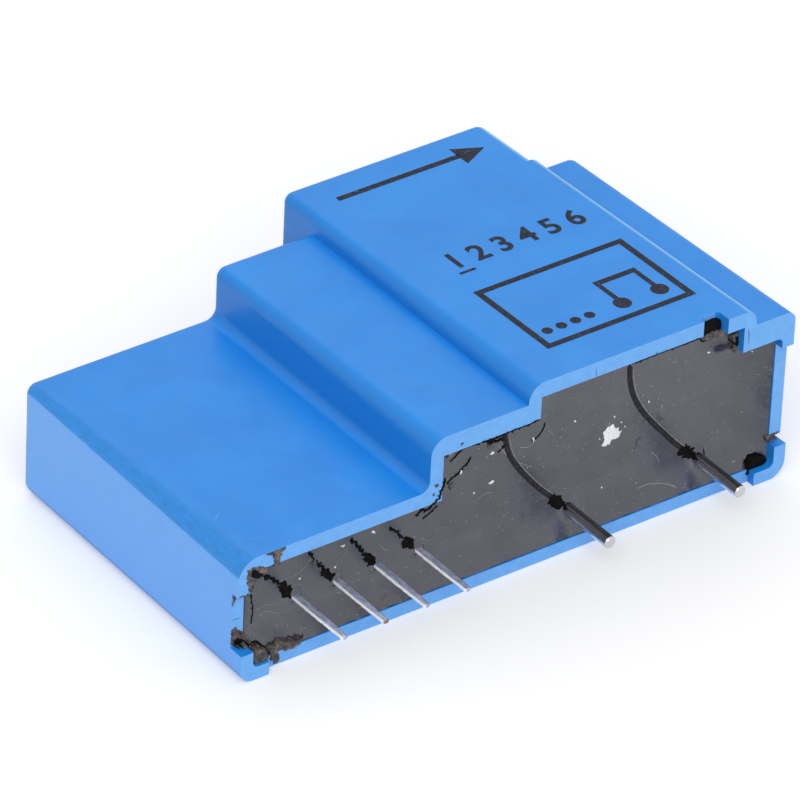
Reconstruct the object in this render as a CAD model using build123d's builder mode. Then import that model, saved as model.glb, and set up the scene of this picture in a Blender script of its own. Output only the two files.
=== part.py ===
from build123d import *
from math import cos, radians, sin, tan
import os

os.makedirs("parts", exist_ok=True)

# The sensor lies on its flat back. X runs along the case from the signal end to the
# primary end, the pins leave along -Y, and Z rises through the stepped levels.
# Lengths are millimetres.

# Case levels: the widths and depths of the case follow from what it holds, and from the
# clearances around that, where the chains of places below add them up.
thin_height = 7.1
first_rise = 3.0
second_rise = 1.1
ledge_drop = 1.0
block_overhang = 2.6
block_inset = 0.3
draft_angle = 1.0

# Case walls
side_wall = 0.75
back_wall = 0.75
end_wall = 0.9
riser_wall = 0.8
thin_roof = 0.85
middle_roof = 1.15
block_roof = 0.9
ledge_roof = 1.45

# Case roundings: a crest is the outer edge of a riser, a root its inner corner. The long
# edges are rounded more at the rim than at the closed end.
shoulder_radius = 1.3
shoulder_end_radius = 0.6
first_crest_radius = 1.0
first_crest_end_radius = 0.6
first_root_radius = 0.6
first_root_end_radius = 0.55
second_crest_flat = 0.1
second_crest_end_radius = 0.55
ledge_root_radius = 0.2
ledge_flat = 0.05
ledge_edge_radius = 0.6
back_left_radius = 0.8
back_right_radius = 1.0
closed_end_radius = 0.45
cavity_radius = 0.35

# Feet and notches of the rim: the feet stand out by the standoff and touch the board
# that the sensor is soldered to.
standoff = 0.5
left_foot_width = 1.75
left_foot_height = 1.7
right_foot_width = 2.0
right_foot_height = 1.95
top_foot_width = 4.45
top_foot_drop = 2.1
left_dip_height = 3.3
left_dip_depth = 0.5
right_dip_height = 0.4
right_dip_depth = 0.4
pour_notch_width = 1.2
pour_notch_depth = 0.45
pour_notch_radius = 0.3

# Potting: flush with the rim at the walls and dished between them. The meniscus is
# given as insets from the cavity wall, each with its depth below the rim.
potting_setback = 0.08
potting_land = 0.12
meniscus = ((0.12, 0), (0.25, 0.7), (0.55, 1.2), (1.15, 1.5))

# Signal pins: four flat tinned pins that lap onto the circuit board
signal_count = 4
signal_pitch = 2.54
signal_inset = 4.4
signal_height = 2.8
signal_reach = 3.2
signal_width = 0.5
signal_thickness = 0.25
signal_tip_chamfer = 0.1
signal_lap = 2.2

# Primary winding: one round wire whose two ends are the primary pins
wire_diameter = 0.7
primary_inset = 3.6
primary_spacing = 8.4
primary_height = 1.95
primary_reach = 2.8
primary_tip_chamfer = 0.06
full_turns = 2
crossover_angle = 60
coil_headroom = 0.25
coil_depth = 7.2
bend_radius = 1.2

# Bobbin
flange_thickness = 0.6
flange_lip = 0.5
flange_gap = 0.1
bobbin_to_case = 0.35
winding_clearance = 0.02
core_clearance = 0.05

# Core: stamped steel sheets with one air gap, each a varnish film apart
sheet_count = 6
sheet_thickness = 0.48
varnish = 0.02
limb_width = 2.4
core_depth = 10.8
core_margin = 0.1
core_to_case = 0.45
core_end_clearance = 0.3

# Hall element that stands on the circuit board inside the air gap
hall_width = 2.2
hall_thickness = 1.2
hall_height = 3.2
hall_chamfer = 0.25
hall_lead_count = 4
hall_lead_pitch = 0.5
hall_lead_size = 0.25
hall_lead_tail = 0.4
shim_thickness = 0.2

# Circuit board
board_thickness = 0.8
board_margin = 0.6
board_setback = 3.0
board_end_clearance = 1.1
board_to_bobbin = 0.3

# Parts on the board: they stand in three columns, a part gap from each other
part_gap = 0.5
amplifier_margin = 1.25
can_to_riser = 0.7
can_to_core = 0.4
amplifier_width = 3.9
amplifier_length = 4.9
amplifier_height = 1.45
amplifier_lift = 0.15
amplifier_chamfer = 0.4
amplifier_lead_pairs = 4
amplifier_lead_pitch = 1.27
amplifier_lead_width = 0.42
amplifier_lead_thickness = 0.2
amplifier_lead_height = 0.75
amplifier_lead_shoulder = 0.35
amplifier_lead_reach = 1.05
trimmer_side = 3.6
trimmer_height = 1.7
trimmer_chamfer = 0.3
rotor_wall = 0.55
rotor_height = 0.6
rotor_slot_width = 0.4
rotor_slot_depth = 0.3
chip_length = 2.0
chip_width = 1.25
resistor_height = 0.5
capacitor_height = 1.0
diode_length = 2.6
diode_width = 1.5
diode_height = 1.1
diode_draft = 6.0
can_radius = 2.0
can_headroom = 1.275
can_top_chamfer = 0.3
can_base_lip = 0.1
can_base_height = 0.6
solder_width = 1.3
solder_height = 0.45
solder_slope = 30.0
solder_margin = 0.2

# Sizes that follow from others
middle_height = thin_height + first_rise
block_height = middle_height + second_rise
ledge_height = block_height - ledge_drop
second_crest_radius = second_rise - second_crest_flat
block_edge_radius = ledge_drop - ledge_root_radius - ledge_flat
wire_radius = wire_diameter / 2
coil_radius = (block_height - block_roof - coil_headroom - flange_lip - primary_height) / 2
flange_radius = coil_radius + flange_lip
wire_to_flange_face = wire_radius + flange_gap + flange_thickness
air_gap = hall_thickness + 2 * shim_thickness
amplifier_span = amplifier_width + 2 * amplifier_lead_reach
rotor_radius = trimmer_side / 2 - rotor_wall
can_base_side = 2 * (can_radius + can_base_lip)

# Chain of places along X, from the left end of the case to its right end
amplifier_start = side_wall + board_margin + amplifier_margin
trimmer_start = amplifier_start + amplifier_span + part_gap
can_start = trimmer_start + trimmer_side + part_gap
first_riser = can_start - can_to_riser - riser_wall
core_start = can_start + can_base_side + can_to_core
bobbin_start = core_start + limb_width + core_margin
first_primary = bobbin_start + wire_to_flange_face
second_riser = first_primary - primary_inset
bobbin_end = first_primary + primary_spacing + wire_to_flange_face
block_edge = bobbin_end + bobbin_to_case + side_wall
core_end = bobbin_end + core_margin + limb_width
case_length = core_end + core_to_case + side_wall

# Chains of places along Y, from the rim to the closed ends, one for each column of parts
first_row = board_setback + signal_lap + part_gap
second_row = first_row + chip_width + part_gap
back_resistor_row = second_row + amplifier_length + part_gap
last_resistor_row = back_resistor_row + chip_width + part_gap
gain_row = second_row + trimmer_side + part_gap
capacitor_row = gain_row + trimmer_side + part_gap
diode_row = second_row + chip_width + part_gap
can_row = diode_row + diode_width + part_gap
parts_end = max(last_resistor_row, capacitor_row) + chip_width
board_end = max(parts_end, can_row + can_base_side) + board_margin
core_far_end = coil_depth - limb_width / 2 + core_depth
core_clear_end = core_far_end + core_end_clearance
low_depth = max(board_end + board_end_clearance, core_clear_end) + end_wall
ledge_depth = core_clear_end + end_wall
block_depth = low_depth + block_overhang

# Places in the frame of the part: X = 0 and Y = 0 are the middle of the whole part
left_x = -case_length / 2
right_x = case_length / 2
rim_y = (signal_reach - block_depth) / 2
seat_y = rim_y - standoff
first_riser_x = left_x + first_riser
second_riser_x = left_x + second_riser
block_edge_x = left_x + block_edge
pin_one_x = left_x + signal_inset
left_foot_x = left_x + left_foot_width
right_foot_x = right_x - right_foot_width
top_foot_x = right_x - top_foot_width
top_foot_z = ledge_height - top_foot_drop
seat_plane = Plane(origin=(0, seat_y, 0), x_dir=(1, 0, 0), z_dir=(0, -1, 0))

# Allowances that only shape the cutting and joining solids
below_back = 1.0
prism_overlap = 2.0
cut_margin = 1.0
corner_search = 0.45


def prism(corners, depth):
    """Tapered prism that narrows from the seat plane towards a closed end."""
    with BuildSketch(seat_plane) as outline:
        with BuildLine():
            Polyline(*corners, close=True)
        make_face()
    extrude(outline.sketch, amount=-(depth + standoff), taper=draft_angle)


def rounded_section(depth, corners, radii):
    """Cross-section at a depth from the seat plane, with some of its corners rounded."""
    with BuildSketch(seat_plane.offset(-depth)) as section:
        with BuildLine():
            Polyline(*corners, close=True)
        make_face()
        for number, radius in radii.items():
            corner = Vector(*corners[number])
            fillet(section.vertices().sort_by_distance(corner)[0], radius)
    return section.sketch


def level(outline, depth, rim_radii, end_radii):
    """Drafted body of some levels, whose long edges change radius from rim to closed end."""
    full_depth = depth + standoff
    end_outline = outline(full_depth * tan(radians(draft_angle)))
    rim_section = rounded_section(0, outline(0), rim_radii)
    end_section = rounded_section(full_depth, end_outline, end_radii)
    loft([rim_section, end_section], ruled=True)


def low_outline(inset):
    """Stepped profile of the thin and middle levels, drawn in by the draft's inset."""
    return [
        (left_x + inset, -below_back),
        (second_riser_x + prism_overlap, -below_back),
        (second_riser_x + prism_overlap, middle_height - inset),
        (first_riser_x + inset, middle_height - inset),
        (first_riser_x + inset, thin_height - inset),
        (left_x + inset, thin_height - inset),
    ]


def block_outline(inset):
    """Profile of the block, drawn in by the draft's inset."""
    left = second_riser_x + inset
    right = block_edge_x - block_inset - inset
    return rectangle(left, right, -below_back, block_height - inset)


def rectangle(x_low, x_high, z_low, z_high):
    """Corners of a rectangle on the seat plane."""
    return [(x_low, z_low), (x_high, z_low), (x_high, z_high), (x_low, z_high)]


def span_box(xs, ys, zs, mode=Mode.ADD):
    """Box between a low and a high value on each axis."""
    with Locations((sum(xs) / 2, sum(ys) / 2, sum(zs) / 2)):
        Box(xs[1] - xs[0], ys[1] - ys[0], zs[1] - zs[0], mode=mode)


def cut_dips():
    """Dips in the rim of both end walls, where the potting runs over."""
    span_box(
        (left_x - cut_margin, cavity_left + cavity_radius),
        (seat_y, rim_y + left_dip_depth),
        (left_foot_height, left_foot_height + left_dip_height),
        mode=Mode.SUBTRACT,
    )
    span_box(
        (cavity_right - cavity_radius, right_x + cut_margin),
        (seat_y, rim_y + right_dip_depth),
        (right_foot_height, right_foot_height + right_dip_height),
        mode=Mode.SUBTRACT,
    )


def corner_edges(part, x, z):
    """Edges that run from rim to closed end at one corner of the stepped profile."""

    def at_corner(edge):
        middle = edge.center()
        along_depth = abs((edge % 0.5).Y) > 0.99
        near_x = abs(middle.X - x) < corner_search
        return along_depth and near_x and abs(middle.Z - z) < corner_search

    return part.edges().filter_by(at_corner)


def on_board(column_middle, row, part_length):
    """Middle of a part on the board, from its column's middle and the start of its row."""
    return (left_x + column_middle, rim_y + row + part_length / 2)


# Cavity of the case: the case is hollowed by it and the potting fills it
cavity_left = left_x + side_wall
cavity_right = right_x - side_wall
first_cavity_riser = first_riser_x + riser_wall
block_cavity_left = second_riser_x + riser_wall
block_cavity_right = block_edge_x - side_wall
thin_ceiling = thin_height - thin_roof
middle_ceiling = middle_height - middle_roof
block_ceiling = block_height - block_roof
ledge_ceiling = ledge_height - ledge_roof
far_cavity_right = block_cavity_right - block_inset

with BuildPart() as cavity:
    prism(
        [
            (cavity_left, back_wall),
            (block_cavity_left + prism_overlap, back_wall),
            (block_cavity_left + prism_overlap, middle_ceiling),
            (first_cavity_riser, middle_ceiling),
            (first_cavity_riser, thin_ceiling),
            (cavity_left, thin_ceiling),
        ],
        low_depth - end_wall,
    )
    prism(
        rectangle(block_cavity_left, far_cavity_right, back_wall, block_ceiling),
        block_depth - end_wall,
    )
    prism(
        rectangle(block_cavity_left, block_cavity_right, back_wall, block_ceiling),
        ledge_depth - end_wall,
    )
    prism(
        rectangle(block_cavity_right - prism_overlap, cavity_right, back_wall, ledge_ceiling),
        ledge_depth - end_wall,
    )
    for x, z in (
        (cavity_left, thin_ceiling),
        (cavity_left, back_wall),
        (cavity_right, ledge_ceiling),
        (cavity_right, back_wall),
    ):
        fillet(corner_edges(cavity.part, x, z), cavity_radius)

# Case: one moulding with stepped levels, drafted walls, three feet and an open rim.
# Each level is trimmed flat at the back, so that the case rests on all of it.
with BuildPart() as low_levels:
    level(
        low_outline,
        low_depth,
        {3: first_crest_radius, 4: first_root_radius, 5: shoulder_radius},
        {3: first_crest_end_radius, 4: first_root_end_radius, 5: shoulder_end_radius},
    )
    split(bisect_by=Plane.XY, keep=Keep.TOP)
    fillet(corner_edges(low_levels.part, left_x, 0), back_left_radius)
    fillet(low_levels.faces().sort_by(Axis.Y)[-1].edges(), closed_end_radius)

with BuildPart() as ledge:
    prism(
        rectangle(block_edge_x - prism_overlap, right_x, -below_back, ledge_height),
        ledge_depth,
    )
    split(bisect_by=Plane.XY, keep=Keep.TOP)
    fillet(corner_edges(ledge.part, right_x, ledge_height), ledge_edge_radius)
    fillet(corner_edges(ledge.part, right_x, 0), back_right_radius)
    fillet(ledge.faces().sort_by(Axis.Y)[-1].edges(), closed_end_radius)

with BuildPart() as block:
    level(
        block_outline,
        block_depth,
        {3: second_crest_radius},
        {3: second_crest_end_radius},
    )
    prism(
        rectangle(second_riser_x + prism_overlap, block_edge_x, -below_back, block_height),
        ledge_depth - closed_end_radius,
    )
    split(bisect_by=Plane.XY, keep=Keep.TOP)
    far_edges = corner_edges(block.part, block_edge_x - block_inset, block_height)
    fillet(far_edges.sort_by(Axis.Y)[-1], block_edge_radius)
    fillet(corner_edges(block.part, block_edge_x, block_height), block_edge_radius)
    fillet(block.faces().sort_by(Axis.Y)[-1].edges(), closed_end_radius)

with BuildPart() as case:
    add(low_levels.part)
    add(ledge.part)
    add(block.part)
    fillet(corner_edges(case.part, block_edge_x, ledge_height), ledge_root_radius)
    add(cavity.part, mode=Mode.SUBTRACT)

    # Between the feet the rim is cut back by the standoff
    with BuildSketch(seat_plane):
        with Locations((0, block_height / 2)):
            Rectangle(case_length + 2 * cut_margin, block_height + 2 * cut_margin)
        for corner in (
            rectangle(left_x - cut_margin, left_foot_x, -cut_margin, left_foot_height),
            rectangle(right_foot_x, right_x + cut_margin, -cut_margin, right_foot_height),
            rectangle(top_foot_x, right_x + cut_margin, top_foot_z, block_height + cut_margin),
        ):
            with BuildLine():
                Polyline(*corner, close=True)
            make_face(mode=Mode.SUBTRACT)
    extrude(amount=-standoff, mode=Mode.SUBTRACT)
    cut_dips()

    # Pour notch through the roof beside the top foot
    with BuildSketch(Plane.XY.offset(block_height)) as notch:
        with Locations((top_foot_x - pour_notch_width / 2, rim_y)):
            Rectangle(pour_notch_width, 2 * pour_notch_depth)
        fillet(notch.vertices().group_by(Axis.Y)[-1], pour_notch_radius)
    extrude(amount=-(block_roof + potting_land), mode=Mode.SUBTRACT)
case.part.label = "case"
export_step(case.part, "parts/case.step")

# Signal pins
pin_end_y = rim_y + board_setback + signal_lap
signal_pins = []
for number in range(signal_count):
    pin_x = pin_one_x + number * signal_pitch
    with BuildPart() as signal_pin:
        span_box(
            (pin_x - signal_width / 2, pin_x + signal_width / 2),
            (rim_y - signal_reach, pin_end_y),
            (signal_height - signal_thickness / 2, signal_height + signal_thickness / 2),
        )
        tip = signal_pin.faces().sort_by(Axis.Y)[0]
        chamfer(tip.edges(), signal_tip_chamfer)
    signal_pin.part.label = f"signal_pin_{number + 1}"
    export_step(signal_pin.part, f"parts/signal_pin_{number + 1}.step")
    signal_pins.append(signal_pin.part)

# Primary winding: flat rings round the bobbin, each led over to the next by a short
# crossover, with both ends of the wire brought out straight as the primary pins
first_primary_x = left_x + first_primary
second_primary_x = first_primary_x + primary_spacing
primary_tip_y = rim_y - primary_reach
coil_y = rim_y + coil_depth
coil_z = primary_height + coil_radius
lead_y = coil_y - coil_radius
bend_end_y = lead_y - bend_radius
ring_spacing = primary_spacing / full_turns
coil_axis = Axis((0, coil_y, coil_z), (1, 0, 0))
crossover_start = radians(360 - crossover_angle)
crossover_pull = 4 / 3 * tan(radians(crossover_angle) / 4) * coil_radius


def wire_section(origin, z_dir):
    """Round cross-section of the wire, square to its run."""
    with BuildSketch(Plane(origin=origin, z_dir=z_dir)) as section:
        Circle(wire_radius)
    return section.sketch


with BuildPart() as primary_winding:
    extrude(
        wire_section((first_primary_x, primary_tip_y, primary_height), (0, 1, 0)),
        amount=coil_y - primary_tip_y,
    )
    for turn in range(full_turns):
        ring_x = first_primary_x + turn * ring_spacing
        revolve(
            wire_section((ring_x, coil_y, primary_height), (0, 1, 0)),
            axis=coil_axis,
            revolution_arc=360 - crossover_angle,
        )
        start = Vector(
            ring_x,
            coil_y + coil_radius * sin(crossover_start),
            coil_z - coil_radius * cos(crossover_start),
        )
        heading = Vector(0, cos(crossover_start), sin(crossover_start))
        end = Vector(ring_x + ring_spacing, coil_y, primary_height)
        with BuildLine() as crossover:
            Bezier(
                start,
                start + heading * crossover_pull,
                end - Vector(0, crossover_pull, 0),
                end,
            )
        sweep(wire_section(start, heading), path=crossover.line)
    revolve(
        wire_section((second_primary_x, coil_y, primary_height), (0, 1, 0)),
        axis=coil_axis,
        revolution_arc=270,
    )
    extrude(
        wire_section((second_primary_x, lead_y, coil_z), (0, 0, -1)),
        amount=coil_radius - bend_radius,
    )
    revolve(
        wire_section((second_primary_x, bend_end_y, primary_height), (0, 1, 0)),
        axis=Axis((0, bend_end_y, primary_height + bend_radius), (1, 0, 0)),
        revolution_arc=90,
    )
    extrude(
        wire_section((second_primary_x, bend_end_y, primary_height), (0, -1, 0)),
        amount=bend_end_y - primary_tip_y,
    )
    tips = primary_winding.faces().group_by(Axis.Y)[0]
    chamfer(tips.edges(), primary_tip_chamfer)
primary_winding.part.label = "primary_winding"
export_step(primary_winding.part, "parts/primary_winding.step")

# Bobbin: a flanged sleeve that carries the turns and holds the core limb in its middle
bobbin_left = left_x + bobbin_start
bobbin_right = left_x + bobbin_end
sleeve_radius = coil_radius - wire_radius - winding_clearance
core_height = sheet_count * sheet_thickness + (sheet_count - 1) * varnish
bobbin_length = bobbin_right - bobbin_left
bobbin_plane = Plane(origin=(bobbin_left, coil_y, coil_z), x_dir=(0, 1, 0), z_dir=(1, 0, 0))
far_flange_plane = bobbin_plane.offset(bobbin_length - flange_thickness)

with BuildPart() as winding_bobbin:
    with BuildSketch(bobbin_plane):
        Circle(sleeve_radius)
    extrude(amount=bobbin_length)
    with BuildSketch(bobbin_plane, far_flange_plane):
        Circle(flange_radius)
    extrude(amount=flange_thickness)
    with BuildSketch(bobbin_plane):
        Rectangle(limb_width + 2 * core_clearance, core_height + 2 * core_clearance)
    extrude(amount=bobbin_length, mode=Mode.SUBTRACT)
winding_bobbin.part.label = "winding_bobbin"
export_step(winding_bobbin.part, "parts/winding_bobbin.step")

# Core: a stack of C-shaped sheets. The near limb runs through the bobbin and ends at
# the air gap, which the left limb closes from the other side.
core_right = left_x + core_end
core_left = left_x + core_start
near_low = coil_y - limb_width / 2
near_high = coil_y + limb_width / 2
gap_high = near_high + air_gap
far_high = near_low + core_depth
far_low = far_high - limb_width
core_bottom = coil_z - core_height / 2
core_top = coil_z + core_height / 2
core_outline = [
    (core_left, near_low),
    (core_right, near_low),
    (core_right, far_high),
    (core_left, far_high),
    (core_left, gap_high),
    (core_left + limb_width, gap_high),
    (core_left + limb_width, far_low),
    (core_right - limb_width, far_low),
    (core_right - limb_width, near_high),
    (core_left, near_high),
]
sheet_bottoms = [core_bottom + n * (sheet_thickness + varnish) for n in range(sheet_count)]

with BuildPart() as core_laminations:
    for sheet_bottom in sheet_bottoms:
        with BuildSketch(Plane.XY.offset(sheet_bottom)):
            with BuildLine():
                Polyline(*core_outline, close=True)
            make_face()
        extrude(amount=sheet_thickness)
core_laminations.part.label = "core_laminations"
export_step(core_laminations.part, "parts/core_laminations.step")

with BuildPart() as core_envelope:
    with BuildSketch(Plane.XY.offset(core_bottom)):
        with BuildLine():
            Polyline(*core_outline, close=True)
        make_face()
    extrude(amount=core_height)

# Circuit board under the pins, with holes for the leads of the hall element
board_top = signal_height - signal_thickness / 2
board_bottom = board_top - board_thickness
board_left = cavity_left + board_margin
board_right = bobbin_left - board_to_bobbin
board_near = rim_y + board_setback
board_far = rim_y + board_end
hall_x = core_left + limb_width / 2
hall_y = (near_high + gap_high) / 2
hall_bottom = coil_z - hall_height / 2
hall_lead_places = [
    (hall_x + (n - (hall_lead_count - 1) / 2) * hall_lead_pitch, hall_y)
    for n in range(hall_lead_count)
]

with BuildPart() as hall_leads:
    for x, y in hall_lead_places:
        span_box(
            (x - hall_lead_size / 2, x + hall_lead_size / 2),
            (y - hall_lead_size / 2, y + hall_lead_size / 2),
            (board_bottom - hall_lead_tail, hall_bottom),
        )
hall_leads.part.label = "hall_leads"
export_step(hall_leads.part, "parts/hall_leads.step")

with BuildPart() as hall_element:
    span_box(
        (hall_x - hall_width / 2, hall_x + hall_width / 2),
        (hall_y - hall_thickness / 2, hall_y + hall_thickness / 2),
        (hall_bottom, hall_bottom + hall_height),
    )
    upright = hall_element.edges().filter_by(Axis.Z).group_by(Axis.Y)[0]
    chamfer(upright, hall_chamfer)
hall_element.part.label = "hall_element"
export_step(hall_element.part, "parts/hall_element.step")

# Insulating shims that centre the hall element between the two pole faces
with BuildPart() as gap_shims:
    for shim_span in (
        (near_high, hall_y - hall_thickness / 2),
        (hall_y + hall_thickness / 2, gap_high),
    ):
        span_box((core_left, core_left + limb_width), shim_span, (core_bottom, core_top))
gap_shims.part.label = "gap_shims"
export_step(gap_shims.part, "parts/gap_shims.step")

with BuildPart() as circuit_board:
    span_box((board_left, board_right), (board_near, board_far), (board_bottom, board_top))
    add(hall_leads.part, mode=Mode.SUBTRACT)
circuit_board.part.label = "circuit_board"
export_step(circuit_board.part, "parts/circuit_board.step")

# Amplifier in a moulded body with gull-wing leads on both long sides
amplifier_middle = amplifier_start + amplifier_span / 2
trimmer_middle = trimmer_start + trimmer_side / 2
can_middle = can_start + can_base_side / 2
amplifier_x, amplifier_y = on_board(amplifier_middle, second_row, amplifier_length)
amplifier_bottom = board_top + amplifier_lift
amplifier_side = amplifier_width / 2
lead_foot_x = amplifier_side + amplifier_lead_reach
lead_knee_x = amplifier_side + amplifier_lead_shoulder
lead_low = board_top + amplifier_lead_thickness
lead_high = board_top + amplifier_lead_height

with BuildPart() as amplifier_ic:
    with BuildSketch(Plane.XY.offset(amplifier_bottom)):
        with Locations((amplifier_x, amplifier_y)):
            Rectangle(amplifier_width, amplifier_length)
    extrude(amount=amplifier_height)
    pin_one_edge = amplifier_ic.faces().sort_by(Axis.Z)[-1].edges().sort_by(Axis.X)[0]
    chamfer(pin_one_edge, amplifier_chamfer)
amplifier_ic.part.label = "amplifier_ic"
export_step(amplifier_ic.part, "parts/amplifier_ic.step")

with BuildPart() as amplifier_leads:
    for pair in range(amplifier_lead_pairs):
        offset_y = (pair - (amplifier_lead_pairs - 1) / 2) * amplifier_lead_pitch
        lead_edge_y = amplifier_y + offset_y + amplifier_lead_width / 2
        for side in (-1, 1):
            lead_side_plane = Plane(
                origin=(amplifier_x, lead_edge_y, 0), x_dir=(1, 0, 0), z_dir=(0, -1, 0)
            )
            with BuildSketch(lead_side_plane):
                with BuildLine():
                    Polyline(
                        (side * amplifier_side, lead_high),
                        (side * lead_knee_x, lead_high),
                        (side * lead_knee_x, lead_low),
                        (side * lead_foot_x, lead_low),
                        (side * lead_foot_x, board_top),
                        (side * (lead_knee_x - amplifier_lead_thickness), board_top),
                        (side * (lead_knee_x - amplifier_lead_thickness),
                         lead_high - amplifier_lead_thickness),
                        (side * amplifier_side, lead_high - amplifier_lead_thickness),
                        close=True,
                    )
                make_face()
            extrude(amount=amplifier_lead_width)
amplifier_leads.part.label = "amplifier_leads"
export_step(amplifier_leads.part, "parts/amplifier_leads.step")

# Trimmers for offset and gain: a square housing and a slotted rotor in its middle
trimmer_top = board_top + trimmer_height
trimmer_parts = []
for trimmer_name, trimmer_row in (("offset", second_row), ("gain", gain_row)):
    trimmer_x, trimmer_y = on_board(trimmer_middle, trimmer_row, trimmer_side)
    with BuildPart() as rotor:
        with BuildSketch(Plane.XY.offset(trimmer_top - rotor_height)):
            with Locations((trimmer_x, trimmer_y)):
                Circle(rotor_radius)
        extrude(amount=rotor_height)
        with BuildSketch(Plane.XY.offset(trimmer_top - rotor_slot_depth)):
            with Locations((trimmer_x, trimmer_y)):
                Rectangle(2 * rotor_radius, rotor_slot_width)
        extrude(amount=rotor_slot_depth, mode=Mode.SUBTRACT)
    with BuildPart() as housing:
        with BuildSketch(Plane.XY.offset(board_top)):
            with Locations((trimmer_x, trimmer_y)):
                Rectangle(trimmer_side, trimmer_side)
        extrude(amount=trimmer_height)
        chamfer(housing.edges().filter_by(Axis.Z), trimmer_chamfer)
        with BuildSketch(Plane.XY.offset(trimmer_top - rotor_height)):
            with Locations((trimmer_x, trimmer_y)):
                Circle(rotor_radius)
        extrude(amount=rotor_height, mode=Mode.SUBTRACT)
    housing.part.label = f"{trimmer_name}_trimmer"
    export_step(housing.part, f"parts/{trimmer_name}_trimmer.step")
    rotor.part.label = f"{trimmer_name}_trimmer_rotor"
    export_step(rotor.part, f"parts/{trimmer_name}_trimmer_rotor.step")
    trimmer_parts += [housing.part, rotor.part]

# Chips: all of one kind are one node, each a block with its long side along X
first_chip = amplifier_start + chip_length / 2
second_chip = first_chip + chip_length + part_gap
resistor_places = [
    (first_chip, first_row),
    (second_chip, first_row),
    (trimmer_middle, first_row),
    (first_chip, back_resistor_row),
    (second_chip, back_resistor_row),
    (first_chip, last_resistor_row),
]
capacitor_places = [
    (can_middle, first_row),
    (can_middle, second_row),
    (trimmer_middle, capacitor_row),
]

with BuildPart() as chip_resistors:
    with BuildSketch(Plane.XY.offset(board_top)):
        with Locations(*[on_board(*place, chip_width) for place in resistor_places]):
            Rectangle(chip_length, chip_width)
    extrude(amount=resistor_height)
chip_resistors.part.label = "chip_resistors"
export_step(chip_resistors.part, "parts/chip_resistors.step")

with BuildPart() as chip_capacitors:
    with BuildSketch(Plane.XY.offset(board_top)):
        with Locations(*[on_board(*place, chip_width) for place in capacitor_places]):
            Rectangle(chip_length, chip_width)
    extrude(amount=capacitor_height)
chip_capacitors.part.label = "chip_capacitors"
export_step(chip_capacitors.part, "parts/chip_capacitors.step")

with BuildPart() as protection_diode:
    with BuildSketch(Plane.XY.offset(board_top)) as diode_outline:
        with Locations(on_board(can_middle, diode_row, diode_width)):
            Rectangle(diode_length, diode_width)
    extrude(diode_outline.sketch, amount=diode_height, taper=diode_draft)
protection_diode.part.label = "protection_diode"
export_step(protection_diode.part, "parts/protection_diode.step")

# Supply capacitor: a can on a square base
can_height = middle_ceiling - can_headroom - board_top
can_place = on_board(can_middle, can_row, can_base_side)

with BuildPart() as supply_capacitor:
    with BuildSketch(Plane.XY.offset(board_top)):
        with Locations(can_place):
            Rectangle(can_base_side, can_base_side)
    extrude(amount=can_base_height)
    with BuildSketch(Plane.XY.offset(board_top + can_base_height)):
        with Locations(can_place):
            Circle(can_radius)
    extrude(amount=can_height - can_base_height)
    chamfer(supply_capacitor.edges().sort_by(Axis.Z)[-1], can_top_chamfer)
supply_capacitor.part.label = "supply_capacitor"
export_step(supply_capacitor.part, "parts/supply_capacitor.step")

# Solder over the lap of each signal pin
with BuildPart() as pin_solder:
    for number in range(signal_count):
        solder_x = pin_one_x + number * signal_pitch
        with BuildSketch(Plane.XY.offset(board_top)) as solder_foot:
            with Locations((solder_x, board_near + signal_lap / 2)):
                Rectangle(solder_width, signal_lap - 2 * solder_margin)
        extrude(solder_foot.sketch, amount=solder_height, taper=solder_slope)
    for pin in signal_pins:
        add(pin, mode=Mode.SUBTRACT)
pin_solder.part.label = "pin_solder"
export_step(pin_solder.part, "parts/pin_solder.step")


def stepped_outline(inset):
    """Stepped profile of the cavity, drawn in by an inset on every side."""
    low = back_wall + inset
    right_face = block_cavity_right - inset
    return [
        (cavity_left + inset, low),
        (cavity_right - inset, low),
        (cavity_right - inset, ledge_ceiling - inset),
        (right_face, ledge_ceiling - inset),
        (right_face, block_ceiling - inset),
        (block_cavity_left + inset, block_ceiling - inset),
        (block_cavity_left + inset, middle_ceiling - inset),
        (first_cavity_riser + inset, middle_ceiling - inset),
        (first_cavity_riser + inset, thin_ceiling - inset),
        (cavity_left + inset, thin_ceiling - inset),
    ]


# Potting: it wets the walls up to the rim, sinks between them in a curved meniscus and
# closes round every piece that the case holds
with BuildPart() as dish:
    for inset, depth in meniscus:
        with BuildSketch(seat_plane.offset(-(standoff + depth))):
            with BuildLine():
                Polyline(*stepped_outline(inset), close=True)
            make_face()
    loft(ruled=True)

with BuildPart() as coil_envelope:
    with BuildSketch(bobbin_plane.offset(flange_thickness)):
        Circle(coil_radius + wire_radius + winding_clearance)
    extrude(amount=bobbin_length - 2 * flange_thickness)

with BuildPart() as potting:
    add(cavity.part)
    split(bisect_by=Plane.XZ.offset(-(rim_y + potting_setback)), keep=Keep.BOTTOM)
    add(dish.part, mode=Mode.SUBTRACT)
    cut_dips()
    for held in (
        *signal_pins,
        *trimmer_parts,
        core_envelope.part,
        winding_bobbin.part,
        coil_envelope.part,
        primary_winding.part,
        hall_element.part,
        hall_leads.part,
        gap_shims.part,
        circuit_board.part,
        amplifier_ic.part,
        amplifier_leads.part,
        chip_resistors.part,
        chip_capacitors.part,
        protection_diode.part,
        supply_capacitor.part,
        pin_solder.part,
    ):
        add(held, mode=Mode.SUBTRACT)
potting.part.label = "potting"
export_step(potting.part, "parts/potting.step")
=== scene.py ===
import math
from bisect import bisect

import bmesh
import bpy
import numpy as np
from mathutils import Matrix, Vector, noise
from mathutils.bvhtree import BVHTree


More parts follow.
